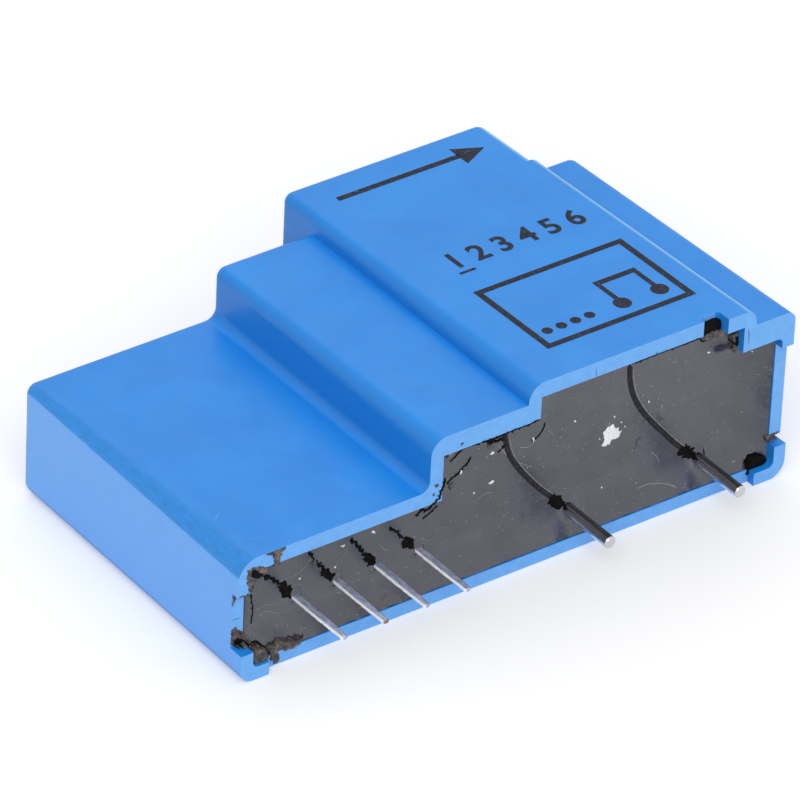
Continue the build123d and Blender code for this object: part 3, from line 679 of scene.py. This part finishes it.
def seen_on(surface):
    def place(u, v, height):
        start = Vector((u, rim_y, v)) - SIGHT
        hit = surface.ray_cast(start * MM, SIGHT)[0]
        if hit is None:
            return (u, rim_y + DISH, v)
        return (hit.x / MM, hit.y / MM - height, hit.z / MM)

    return place


# Residue: x, z, half width and half height of each spot, one list per colour, and the
# outline of the largest white one
WHITE_RESIDUE = [
    (-1.7, 7.97, 0.24, 0.07), (0.95, 7.85, 0.07, 0.2), (8.35, 7.5, 0.08, 0.1),
    (12.1, 9.2, 0.14, 0.08), (-3.6, 7.55, 0.08, 0.16), (-10.9, 5.75, 0.2, 0.08),
    (-9.0, 5.9, 0.24, 0.1), (3.6, 8.0, 0.12, 0.08), (-15.6, 6.0, 0.12, 0.06),
    (-13.5, 4.75, 0.1, 0.07), (-11.3, 4.6, 0.12, 0.08), (5.6, 3.2, 0.06, 0.1),
    (15.0, 8.2, 0.08, 0.07), (-1.6, 6.2, 0.3, 0.05), (-2.7, 5.9, 0.1, 0.06),
    (6.15, 7.35, 0.05, 0.08), (6.62, 6.85, 0.06, 0.05), (6.9, 6.5, 0.04, 0.05),
    (5.25, 6.3, 0.04, 0.07),
]
WHITE_BLOT = [(5.34, 5.79), (5.6, 6.74), (5.96, 7.03), (6.36, 6.76), (6.73, 6.14), (6.05, 5.77),
              (5.74, 5.64)]
TAN_RESIDUE = [
    (-13.7, 1.3, 0.16, 0.36), (-8.1, 1.6, 0.34, 0.12), (-9.6, 1.5, 0.2, 0.07),
    (-14.95, 0.95, 0.1, 0.16), (-16.1, 5.95, 0.12, 0.22), (-14.9, 6.4, 0.1, 0.2),
    (-7.3, 2.6, 0.1, 0.1),
]
PALE_FLAKES = [(-1.75, 8.45, 0.36, 0.22), (-12.6, 5.35, 0.2, 0.3), (-4.2, 6.9, 0.2, 0.3)]
# Share of its half width and height at which the outline of a spot is drawn
RESIDUE_SHARE = 0.7


def ellipse(u, v, half_u, half_v, count):
    angles = np.linspace(0, 2 * math.pi, count, endpoint=False)
    return [(u + half_u * math.cos(a), v + half_v * math.sin(a)) for a in angles]


def make_residue(name, places, material, amount, place):
    bm = bmesh.new()
    for number, (x, z, half_x, half_z) in enumerate(places):
        corners = ellipse(x, z, half_x * RESIDUE_SHARE, half_z * RESIDUE_SHARE, 10)
        outline = ragged(corners, amount * min(1, half_x + half_z), number * 1.7, 0.04)
        dome(bm, outline, place, 0.03)
    if name == "white_residue":
        dome(bm, ragged(shrunk(WHITE_BLOT, 0.9), 0.2, 4.4, 0.04), place, 0.05)
    drawn_piece(name, bm, material)


# Ripples of the skin round the pins and lines of dust: points in the plane of the rim
RIPPLES = [
    [(-14.6, 4.1), (-14.1, 4.45), (-13.5, 4.4), (-13.2, 4.0)],
    [(-14.9, 3.6), (-14.3, 3.95), (-13.9, 3.8)],
    [(-16.13, 3.75), (-15.65, 3.93), (-15.1, 3.78), (-14.61, 3.9)],
    [(-15.94, 3.43), (-15.45, 3.49), (-14.89, 3.15), (-14.39, 3.02)],
    [(-14.96, 5.07), (-14.05, 5.02), (-13.32, 5.23), (-12.85, 5.66)],
    [(-10.6, 5.6), (-10.9, 5.0), (-11.5, 4.6)],
    [(-12.0, 4.3), (-11.5, 4.0), (-10.9, 4.1)],
    [(-8.6, 5.0), (-8.2, 4.5), (-7.9, 4.4)],
    [(-9.2, 3.9), (-8.6, 3.6), (-8.2, 3.8)],
    [(-5.9, 4.4), (-5.5, 4.0), (-5.0, 4.1)],
    [(7.9, 2.24), (8.74, 2.24), (9.87, 1.82), (10.56, 1.32)],
    [(8.73, 4.23), (9.05, 3.9), (9.3, 3.4)],
    [(-2.6, 5.4), (-2.0, 5.6), (-1.5, 5.5)],
    [(-1.2, 8.2), (-0.6, 7.4), (0.2, 6.7), (1.0, 6.1)],
    [(0.1, 7.7), (0.6, 7.5), (1.0, 7.6)],
    [(1.9, 8.1), (2.2, 7.7), (2.3, 7.3)],
]


def make_ripples(material, place):
    bm = bmesh.new()
    for points in RIPPLES:
        strip(bm, smooth_line(points), 0.045, place)
    drawn_piece("skin_ripples", bm, material)


def between(t, p, q, r, s):
    """Catmull-Rom value at share t of the way from q to r."""
    square = (2 * p - 5 * q + 4 * r - s) * t**2
    cube = (3 * q - p - 3 * r + s) * t**3
    return 0.5 * (2 * q + (r - p) * t + square + cube)


def smooth_line(points, steps=6):
    """Points along a smooth curve through the given ones."""
    line = []
    padded = [points[0], *points, points[-1]]
    for a, b, c, d in zip(padded, padded[1:], padded[2:], padded[3:]):
        for n in range(steps):
            line.append(tuple(between(n / steps, *values) for values in zip(a, b, c, d)))
    return line + [points[-1]]


# Black seams of painted shade, for the dark of the gaps where the epoxy has let go of the case, in the
# plane of the rim: points and width
PAINTED_SHADE_SEAMS = [
    ([(-6.32, 5.86), (-6.02, 6.1), (-5.64, 6.0), (-5.22, 6.25), (-4.92, 6.5), (-4.8, 6.91),
      (-4.65, 7.27), (-4.54, 7.53)], 0.17),
    ([(-2.4, 8.9), (-1.9, 8.86), (-1.2, 8.85), (-0.4, 8.92), (0.3, 8.9), (1.28, 8.98)], 0.1),
    ([(7.2, 10.24), (8.6, 10.28), (10.2, 10.26), (11.4, 10.28)], 0.07),
]
# Cracks, and dark streaks of painted reflection that run up from the roots of the pins: points where
# the photograph shows them in the plane of the rim, and width
CRACK_AND_REFLECTION_LINES = [
    ([(-4.46, 7.1), (-4.16, 7.33), (-3.79, 7.5), (-3.5, 7.75), (-3.13, 7.99), (-3.0, 8.25)], 0.12),
    ([(-4.34, 8.43), (-3.92, 8.7), (-3.56, 8.93), (-3.13, 8.95), (-2.49, 8.84)], 0.1),
    ([(-2.0, 8.8), (-1.6, 8.6), (-1.1, 8.65), (-0.8, 8.4), (-0.9, 8.1), (-1.3, 7.9)], 0.22),
    ([(1.67, 8.6), (1.5, 8.23), (1.14, 7.88), (0.83, 7.81)], 0.06),
    ([(-5.9, 5.5), (-5.3, 5.8), (-5.0, 6.0)], 0.08),
    # These four are painted reflections of the signal pins in the glossy epoxy
    ([(-16.2, 6.1), (-15.78, 5.8), (-15.28, 5.43), (-14.84, 5.02), (-14.46, 4.6)], 0.3),
    ([(-12.9, 6.15), (-12.59, 5.5), (-12.14, 4.9), (-11.75, 4.4)], 0.3),
    ([(-10.4, 5.95), (-9.95, 5.36), (-9.55, 4.78), (-9.16, 4.3)], 0.28),
    ([(-7.95, 5.75), (-7.47, 5.25), (-7.07, 4.8), (-6.68, 4.3)], 0.24),
    ([(-13.9, 0.85), (-13.4, 0.95), (-13.1, 1.25)], 0.09),
    ([(-16.45, 4.9), (-16.4, 4.4), (-16.3, 3.8), (-16.4, 3.1)], 0.07),
]
# Black patches of painted shade for holes in the skin: at the root of each pin, in the left corner and
# by the right foot
HOLE_SHADE_PATCHES = [
    [(-14.89, 4.86), (-14.41, 5.04), (-13.84, 4.33), (-13.93, 3.7), (-14.56, 4.06)],
    [(-12.32, 4.73), (-11.77, 4.76), (-11.25, 4.14), (-11.42, 3.71), (-11.98, 4.05)],
    [(-9.6, 4.55), (-9.18, 4.76), (-8.72, 4.1), (-8.82, 3.64), (-9.33, 3.96)],
    [(-7.25, 4.52), (-6.83, 4.79), (-6.31, 4.35), (-6.41, 3.83), (-6.97, 3.99)],
    [(2.02, 3.93), (2.39, 4.1), (3.12, 3.58), (3.42, 2.92), (2.79, 2.78), (2.18, 3.38)],
    [(10.56, 3.93), (11.21, 3.88), (11.78, 3.24), (11.56, 2.69), (10.89, 2.94), (10.53, 3.51)],
]
CORNER_SHADE_PATCHES = [
    [(-16.55, 6.35), (-16.3, 6.42), (-16.0, 6.15), (-15.75, 5.9), (-15.95, 5.75), (-16.4, 5.95)],
    [(-17.15, 2.1), (-16.8, 2.2), (-16.4, 1.95), (-16.5, 1.7), (-16.95, 1.66)],
    [(13.62, 9.6), (13.85, 9.55), (13.9, 9.0), (13.72, 8.8)],
    [(15.1, 0.5), (15.15, 1.0), (15.5, 1.3), (15.9, 1.35), (16.4, 1.1), (16.45, 0.7), (15.9, 0.5),
     (15.4, 0.35)],
]
# Dark bands of painted reflection up from the two thick pins to the roof, the painted highlight beside
# each, and widths
PAINTED_REFLECTIONS = [
    [(-0.9, 8.85), (-0.85, 8.5), (-0.65, 7.76), (-0.39, 7.16), (0.1, 6.4), (0.65, 5.67),
     (1.32, 4.86), (1.94, 4.21), (2.65, 3.49)],
    [(6.97, 10.22), (6.97, 9.9), (7.02, 9.34), (7.19, 8.6), (7.51, 7.82), (7.99, 7.0),
     (8.66, 6.11), (9.49, 5.13), (10.28, 4.22), (11.17, 3.31)],
]
REFLECTION_WIDTH = 0.34
REFLECTION_HIGHLIGHT_WIDTH = 0.06
REFLECTION_HIGHLIGHT_SHIFT = REFLECTION_WIDTH / 2 + REFLECTION_HIGHLIGHT_WIDTH

# Cross-sections of a ribbon: share of the half width, height over what it lies on
CROWNED = [(-1.0, -0.04), (-0.8, 0.035), (0.0, 0.05), (0.8, 0.035), (1.0, -0.04)]
FLAT = [(1.0, 0.006), (-1.0, 0.006)]


def ribbon(bm, line, half, wander, place, profile=CROWNED):
    """Band along a line, with its half width and sideways shift at each point."""
    last = None
    for n, (u, v) in enumerate(line):
        along = Vector(line[min(n + 1, len(line) - 1)]) - Vector(line[max(n - 1, 0)])
        across = Vector((-along.y, along.x)).normalized()
        row = []
        for share, height in profile:
            reach = wander[n] + half[n] * share
            row.append(bm.verts.new(place(u + across.x * reach, v + across.y * reach, height)))
        if last is not None:
            for a, b, c, d in zip(last, last[1:], row[1:], row):
                bm.faces.new([a, b, c, d])
        last = row


# Half width of a crack at its ends, points of its line from one side branch to the next, and
# the width from which these grow no longer
CRACK_END = 0.02
BRANCH_SPACING = 9
BRANCH_WIDTH = 0.12


def rough_line(bm, points, width, place, seed):
    """Uneven line with short side branches, for a crack, a seam of painted shade or a streak of
    painted reflection.
    """
    line = smooth_line(points, 14)
    half = []
    for u, v in line:
        fine, coarse = lumps(u, v, seed, 0.2), lumps(u, v, seed, 0.5)
        half.append(width * (0.22 + 0.5 * abs(fine) + 0.25 * coarse))
    half[0] = half[-1] = CRACK_END
    wander = [0.5 * width * lumps(u, v, seed + 3, 0.2) for u, v in line]
    ribbon(bm, line, half, wander, place)
    for n in range(5, len(line) - 4, BRANCH_SPACING):
        u, v = line[n]
        side = 1 if lumps(u, v, seed + 8, 0.3) > 0 else -1
        along = Vector(line[n + 1]) - Vector(line[n - 1])
        across = Vector((-along.y, along.x)).normalized() * side * min(width, BRANCH_WIDTH)
        across *= 1.2 + lumps(v, u, seed, 0.2)
        branch = [(u, v), (u + across.x / 2, v + across.y / 2), (u + across.x, v + across.y)]
        ribbon(bm, branch, [width / 4, width / 5, 0.01], [0, 0, 0], place)


# Cracks and plugs of epoxy, with seams and patches of painted shade and streaks of painted reflection,
# all in black
def make_cracks_and_shade(material, place):
    bm = bmesh.new()
    for number, (points, width) in enumerate(PAINTED_SHADE_SEAMS):
        rough_line(bm, points, width, on_rim, number * 1.9)
    for number, (points, width) in enumerate(CRACK_AND_REFLECTION_LINES):
        rough_line(bm, points, width, place, number * 2.7)
    for number, points in enumerate(HOLE_SHADE_PATCHES):
        dome(bm, ragged(shrunk(points, 0.85), 0.2, number * 4.1, 0.05), place, 0.05)
    for number, points in enumerate(CORNER_SHADE_PATCHES):
        dome(bm, ragged(points, 0.12, number * 5.3, 0.05), on_rim, 0.07, RIM_SKIRT)
    for number, (low, high) in enumerate(PLUGS):
        plug(bm, low, high, number * 2.3)
    drawn_piece("skin_cracks_and_painted_shade", bm, material)


def make_painted_reflections(name, material, width, shift, place):
    """One ribbon of painted reflection along each band, narrow at its start and shifted sideways."""
    bm = bmesh.new()
    for points in PAINTED_REFLECTIONS:
        line = smooth_line([(u + shift, v) for u, v in points], 16)
        half = [width / 2 * min(1.0, 0.3 + n / 12) for n in range(len(line))]
        ribbon(bm, line, half, [0.0] * len(line), place)
    drawn_piece(name, bm, material)


# Signal pins: dipped in tin, which leaves them lumpy. Places along a pin from its tip: the
# first ones, and the start, end and spacing of the others.
PIN_TIP_RINGS = [0, 0.015, 0.05, 0.1]
PIN_RINGS = (0.17, 4.9, 0.07)
# Share of the section that the tip loses all round and of the width that it loses further
# on, each with the length over which it does
TIP_BLUNT = (0.32, 0.035)
TIP_NARROW = (0.22, 1.6)
# Depth of the lumps and of the fine grain
PIN_LUMPS = 0.035
PIN_GRAIN = 0.01


def make_pin(name, number, material):
    """Flat pin with rounded, uneven edges inside the outline of its solid."""
    low, high = (Vector(corner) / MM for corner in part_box(name))
    middle = (low + high) / 2
    half_x = (high.x - low.x) / 2
    half_z = (high.z - low.z) / 2
    start, end, spacing = PIN_RINGS
    stations = [low.y + along for along in PIN_TIP_RINGS]
    stations += list(np.arange(low.y + start, low.y + end, spacing)) + [high.y]
    angles = np.linspace(0, 2 * math.pi, 28, endpoint=False)
    bm = bmesh.new()
    rings = []
    for y in stations:
        blunt = 1 - TIP_BLUNT[0] * math.exp(-((y - low.y) / TIP_BLUNT[1]))
        narrow = TIP_NARROW[0] * math.exp(-(((y - low.y) / TIP_NARROW[1]) ** 2))
        ring = []
        for angle in angles:
            across, up = math.cos(angle), math.sin(angle)
            square = (abs(across) ** 5 + abs(up) ** 5) ** -0.2
            u, v = across * square, up * square
            lump = 0.5 + 0.5 * lumps(u * half_x, y, v * half_z + number * 9, 0.3)
            fine = 0.5 + 0.5 * lumps(u * half_x, y, v * half_z + number * 5, 0.09)
            inward = PIN_LUMPS * lump + PIN_GRAIN * fine
            x = middle.x + u * (half_x * blunt * (1 - narrow) - inward)
            z = middle.z + v * (half_z * blunt - inward * 0.8)
            ring.append(bm.verts.new((x, y, z)))
        rings.append(ring)
    for first, second in zip(rings, rings[1:]):
        for n in range(len(angles)):
            m = (n + 1) % len(angles)
            bm.faces.new([first[n], second[n], second[m], first[m]])
    bm.faces.new(rings[0])
    bm.faces.new(list(reversed(rings[-1])))
    piece = drawn_piece(f"tinned_{name}", bm, material)
    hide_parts(name)


def top_point(u, v, height, level):
    """Point on the drafted top face of one level, for marks printed or scratched on it."""
    return (u, v, level - (v - seat_y) * math.tan(DRAFT) + height)


def strip(bm, points, width, place):
    """Thin flat line along points, tapered at both ends."""
    half = [width / 8] + [width / 2] * (len(points) - 2) + [width / 8]
    ribbon(bm, points, half, [0] * len(points), place, FLAT)


# Print on the block: a direction arrow, the numbers of the pins and a plain diagram of
# where the six pins stand
PRINT_LIFT = 0.008
LINE = 0.38
# Arrow: x of its tail and tip, and y. Length of its head and half its width. How far before
# the tip its shaft ends.
ARROW = (2.9, 12.4, 10.45)
ARROW_HEAD = (1.7, 0.85)
SHAFT_SHORT = 1.6
NUMBERS_PLACE = (3.9, 1.6)
NUMBER_HEIGHT = 1.45
# Bar under the first number: x span and y
UNDERLINE = (3.9, 4.9, 1.0)
# Frame of the diagram, and above its lower line the dots of the pins (x and radius) and the
# bracket over the two primary ones (x of its sides, their width and their span)
DIAGRAM = (3.4, 12.9, -7.1, -0.7)
DOTS_RISE = 1.4
DOTS = [(4.4, 0.3), (5.3, 0.3), (6.2, 0.3), (7.1, 0.3), (9.2, 0.5), (11.6, 0.5)]
BRACKET_X = (9.05, 11.45)
BRACKET_LINE = 0.3
BRACKET_RISE = (1.9, 3.4)
# Size of the plain font over the height of its digits, and how much bolder they are
FONT_SHARE = 0.73
FONT_BOLD = 0.05


def printed(bm, outline):
    """Printed patch on the block's top."""
    bm.faces.new([bm.verts.new(top_point(u, v, PRINT_LIFT, BLOCK_TOP)) for u, v in outline])


def bar(bm, x_low, x_high, y_low, y_high):
    printed(bm, [(x_low, y_low), (x_high, y_low), (x_high, y_high), (x_low, y_high)])


def add_text(bm, text, x, y, height):
    """Digits laid on the block's top, from the plain built-in font."""
    curve = bpy.data.curves.new("digits", "FONT")
    curve.body = text
    curve.size = height / FONT_SHARE
    curve.resolution_u = 6
    curve.offset = FONT_BOLD
    holder = new_object("digits", curve)
    depsgraph = bpy.context.evaluated_depsgraph_get()
    mesh = bpy.data.meshes.new_from_object(holder.evaluated_get(depsgraph))
    bpy.data.objects.remove(holder)
    bpy.data.curves.remove(curve)
    start = len(bm.verts)
    bm.from_mesh(mesh)
    bm.verts.ensure_lookup_table()
    for vert in bm.verts[start:]:
        vert.co = Vector(top_point(x + vert.co.x, y + vert.co.y, PRINT_LIFT, BLOCK_TOP))
    bpy.data.meshes.remove(mesh)


def make_print(material):
    bm = bmesh.new()
    tail, tip, line_y = ARROW
    head, half = ARROW_HEAD
    bar(bm, tail, tip - SHAFT_SHORT, line_y - LINE / 2, line_y + LINE / 2)
    printed(bm, [(tip - head, line_y - half), (tip, line_y), (tip - head, line_y + half)])
    add_text(bm, "1 2 3 4 5 6", *NUMBERS_PLACE, NUMBER_HEIGHT)
    start, end, under_y = UNDERLINE
    bar(bm, start, end, under_y, under_y + LINE / 2)
    x_low, x_high, y_low, y_high = DIAGRAM
    for y in (y_low, y_high - LINE):
        bar(bm, x_low, x_high, y, y + LINE)
    for x in (x_low, x_high - LINE):
        bar(bm, x, x + LINE, y_low + LINE, y_high - LINE)
    for x, radius in DOTS:
        printed(bm, ellipse(x, y_low + DOTS_RISE, radius, radius, 24))
    left, right = BRACKET_X
    foot_y, roof_y = (y_low + rise for rise in BRACKET_RISE)
    bar(bm, left, right + BRACKET_LINE, roof_y, roof_y + LINE)
    for x in (left, right):
        bar(bm, x, x + BRACKET_LINE, foot_y, roof_y)
    drawn_piece("print_marks", bm, material, smooth=False)


# Knit lines in the rim and in the face of the right foot, and light scratches at the level of
# the thin part's top
KNIT_LINES = [
    [(4.69, 10.85), (4.72, 10.5), (4.73, 10.3)],
    [(-17.2, 3.36), (-16.95, 3.32), (-16.6, 3.34)],
]
FOOT_LINE = [(14.14, 10.12), (14.19, 9.81), (14.22, 9.21)]
SCRATCHES = [
    [(-16.0, -5.7), (-15.75, -5.4), (-15.35, -5.2)],
    [(-15.6, -8.0), (-15.2, -8.15), (-14.9, -8.1)],
    [(-1.2, 3.1), (-0.9, 2.7), (-0.75, 2.5)],
]


def make_marks(dark, light):
    bm = bmesh.new()
    for points in KNIT_LINES:
        strip(bm, points, 0.05, on_rim)
    strip(bm, FOOT_LINE, 0.07, lambda u, v, h: (u, seat_y - h, v))
    drawn_piece("knit_lines", bm, dark, smooth=False)
    bm = bmesh.new()
    for points in SCRATCHES:
        strip(bm, points, 0.06, lambda u, v, h: top_point(u, v, h, THIN_TOP))
    drawn_piece("scratches", bm, light, smooth=False)


def dress_nodes():
    """Gives every node of the model that stays in view its material."""
    tin = tinned("tinned_pin", 0.42, 0.5, None)
    copper_tip = tinned("tinned_pin_bare_tip", 0.42, 0.5, COPPER)
    wire = tinned("tinned_wire", 0.16, 1.0, WIRE_TIP)
    black = plastic("moulded_black", (0.03, 0.03, 0.032), (0.02, 0.02, 0.022), 0.5)
    sheet = metal("core_sheet", (0.5, 0.5, 0.52), (0.3, 0.3, 0.33), 0.4)
    lead = metal("tinned_lead", (0.7, 0.7, 0.7), (0.5, 0.5, 0.52), 0.35)
    solder = metal("solder", (0.75, 0.75, 0.76), (0.5, 0.5, 0.52), 0.3)
    brass = metal("rotor_brass", (0.8, 0.62, 0.3), (0.6, 0.45, 0.2), 0.35)
    can = metal("can_aluminium", (0.75, 0.75, 0.77), (0.6, 0.6, 0.62), 0.3)
    board = plastic("board_green", (0.03, 0.2, 0.09), (0.02, 0.15, 0.06), 0.4)
    shim = plastic("shim_sheet", (0.7, 0.6, 0.38), (0.6, 0.5, 0.3), 0.6)
    trimmer = plastic("trimmer_blue", (0.06, 0.15, 0.4), (0.05, 0.12, 0.33), 0.45)
    chip_black = plastic("chip_black", (0.05, 0.05, 0.05), (0.03, 0.03, 0.03), 0.4)
    chip_tan = plastic("chip_tan", (0.45, 0.32, 0.2), (0.38, 0.26, 0.16), 0.5)
    looks = {
        "case": case_material(),
        "potting": potting_material(),
        "primary_winding": wire,
        "winding_bobbin": black,
        "core_laminations": sheet,
        "hall_element": black,
        "hall_leads": lead,
        "gap_shims": shim,
        "circuit_board": board,
        "amplifier_ic": black,
        "amplifier_leads": lead,
        "offset_trimmer": trimmer,
        "offset_trimmer_rotor": brass,
        "gain_trimmer": trimmer,
        "gain_trimmer_rotor": brass,
        "chip_resistors": chip_black,
        "chip_capacitors": chip_tan,
        "protection_diode": black,
        "supply_capacitor": can,
        "pin_solder": solder,
    }
    for name in SIGNAL_PINS:
        looks[name] = tin
    looks["signal_pin_2"] = copper_tip
    for name, material in looks.items():
        for slot in nodes[name].material_slots:
            slot.material = material
    return looks


def light_path_mix(tree, plain, shown):
    """Mix that uses `shown` where the camera, gloss or glass looks, else `plain`."""
    path = tree.nodes.new("ShaderNodeLightPath").outputs
    last = path["Is Camera Ray"]
    for name in ("Is Glossy Ray", "Is Transmission Ray"):
        feeds = {0: last, 1: path[name]}
        last = wired(tree, "ShaderNodeMath", feeds, operation="MAXIMUM").outputs[0]
    return wired(tree, "ShaderNodeMixShader", {0: last, 1: plain, 2: shown}).outputs[0]


AMBIENT = 0.6


def make_world():
    """White to look at, and dimmer as a light, so that the lamps shape the part."""
    world = bpy.data.worlds.new("studio")
    bpy.context.scene.world = world
    world.use_nodes = True
    tree = world.node_tree
    tree.nodes.clear()
    lights = []
    for strength in (AMBIENT, 1.0):
        feeds = {"Color": (*WHITE, 1), "Strength": strength}
        lights.append(wired(tree, "ShaderNodeBackground", feeds).outputs[0])
    wired(tree, "ShaderNodeOutputWorld", {"Surface": light_path_mix(tree, *lights)})


# Floor, in metres: half its width, how far it lies under the part, and the distances between
# which its glow rises to the second value
FLOOR_HALF = 1.5
FLOOR_DROP = 2e-5
GLOW_REACH = (0.15, 0.6)
GLOW = (0.22, 0.5)


def make_floor():
    """White floor that glows more far off, where it would meet the white behind it in grey."""
    mesh = bpy.data.meshes.new("floor")
    corners = [(-1, -1), (1, -1), (1, 1), (-1, 1)]
    verts = [(x * FLOOR_HALF, y * FLOOR_HALF, -FLOOR_DROP) for x, y in corners]
    mesh.from_pydata(verts, [], [(0, 1, 2, 3)])
    floor = new_object("floor", mesh)
    made = Shader("floor_white", (0.9, 0.9, 0.9), 1.0, specular=0.0)
    distance = made.node("ShaderNodeVectorMath", {0: made.place}, operation="LENGTH")
    strength = made.mapped(distance.outputs["Value"], *GLOW_REACH, *GLOW)
    glow = made.node("ShaderNodeEmission", {"Color": (*WHITE, 1), "Strength": strength})
    added = made.node("ShaderNodeAddShader", {0: made.shader.outputs[0], 1: glow.outputs[0]})
    mixed = light_path_mix(made.tree, made.shader.outputs[0], added.outputs[0])
    made.tree.links.new(mixed, made.tree.nodes["Material Output"].inputs["Surface"])
    mesh.materials.append(made.material)


def add_lamp(name, place, size, power):
    """Soft square lamp aimed at the part. Place and size are in metres."""
    lamp = bpy.data.lights.new(name, "AREA")
    lamp.size = size
    lamp.energy = power
    holder = new_object(name, lamp)
    holder.location = place
    holder.rotation_euler = (-Vector(place)).to_track_quat("-Z", "Y").to_euler()


def make_camera():
    data = bpy.data.cameras.new("camera")
    data.lens = CAMERA_LENS
    data.sensor_width = 36.0
    data.clip_start = 0.01
    data.clip_end = 10.0
    camera = new_object("camera", data)
    place = Vector(CAMERA_PLACE) * MM
    aim = (Vector(CAMERA_AIM) * MM - place).to_track_quat("-Z", "Y").to_matrix().to_4x4()
    camera.matrix_world = Matrix.Translation(place) @ aim @ Matrix.Rotation(CAMERA_ROLL, 4, "Z")
    bpy.context.scene.camera = camera


looks = dress_nodes()
on_potting = seen_on(make_potting(looks["potting"]))
make_spills(spill_material())
white = plastic("residue_white", (0.96, 0.96, 0.98), (0.8, 0.8, 0.84), 0.7, grain=0.05)
make_residue("white_residue", WHITE_RESIDUE, white, 0.35, on_potting)
tan = plastic("residue_tan", (0.3, 0.19, 0.12), (0.1, 0.07, 0.06), 0.6, grain=0.05)
make_residue("tan_residue", TAN_RESIDUE, tan, 0.4, on_potting)
flake = plastic("flake_grey", (0.09, 0.09, 0.1), (0.03, 0.03, 0.04), 0.3, grain=0.08)
make_residue("grey_flakes", PALE_FLAKES, flake, 0.3, on_potting)
ripple = plastic("ripple_grey", (0.26, 0.26, 0.3), (0.12, 0.12, 0.14), 0.3, grain=0.05)
make_ripples(ripple, on_potting)
# Black for the cracks and plugs, and for the painted shade and painted reflection streaks
make_cracks_and_shade(dull("crack_and_shade_black", (0.008, 0.006, 0.006), (0.001, 0.001, 0.001)), on_potting)
# Painted reflections of the two thick pins in the glossy epoxy, dark, with a painted highlight beside
# each
shade = dull("painted_reflection_dark", (0.026, 0.026, 0.034), (0.008, 0.008, 0.01), 0.3)
make_painted_reflections("painted_pin_reflections", shade, REFLECTION_WIDTH, 0, on_potting)
reflection_highlight = dull("painted_reflection_light", (0.35, 0.35, 0.38), (0.2, 0.2, 0.22), 0.5)
make_painted_reflections("painted_reflection_highlights", reflection_highlight, REFLECTION_HIGHLIGHT_WIDTH, REFLECTION_HIGHLIGHT_SHIFT, on_potting)
for pin_number, pin_name in enumerate(SIGNAL_PINS):
    make_pin(pin_name, pin_number, looks[pin_name])
make_print(print_material())
knit = plastic("knit_dark", (0.02, 0.11, 0.36), (0.015, 0.09, 0.3), 0.5)
scratch = plastic("scratch_light", (0.16, 0.42, 0.85), (0.1, 0.36, 0.8), 0.5)
make_marks(knit, scratch)
make_world()
make_floor()
add_lamp("key", (-0.3, -0.38, 0.42), 0.5, 2.0)
add_lamp("fill", (0.2, 0.35, 0.5), 0.4, 0.4)
make_camera()
bpy.context.scene.view_settings.view_transform = "Standard"
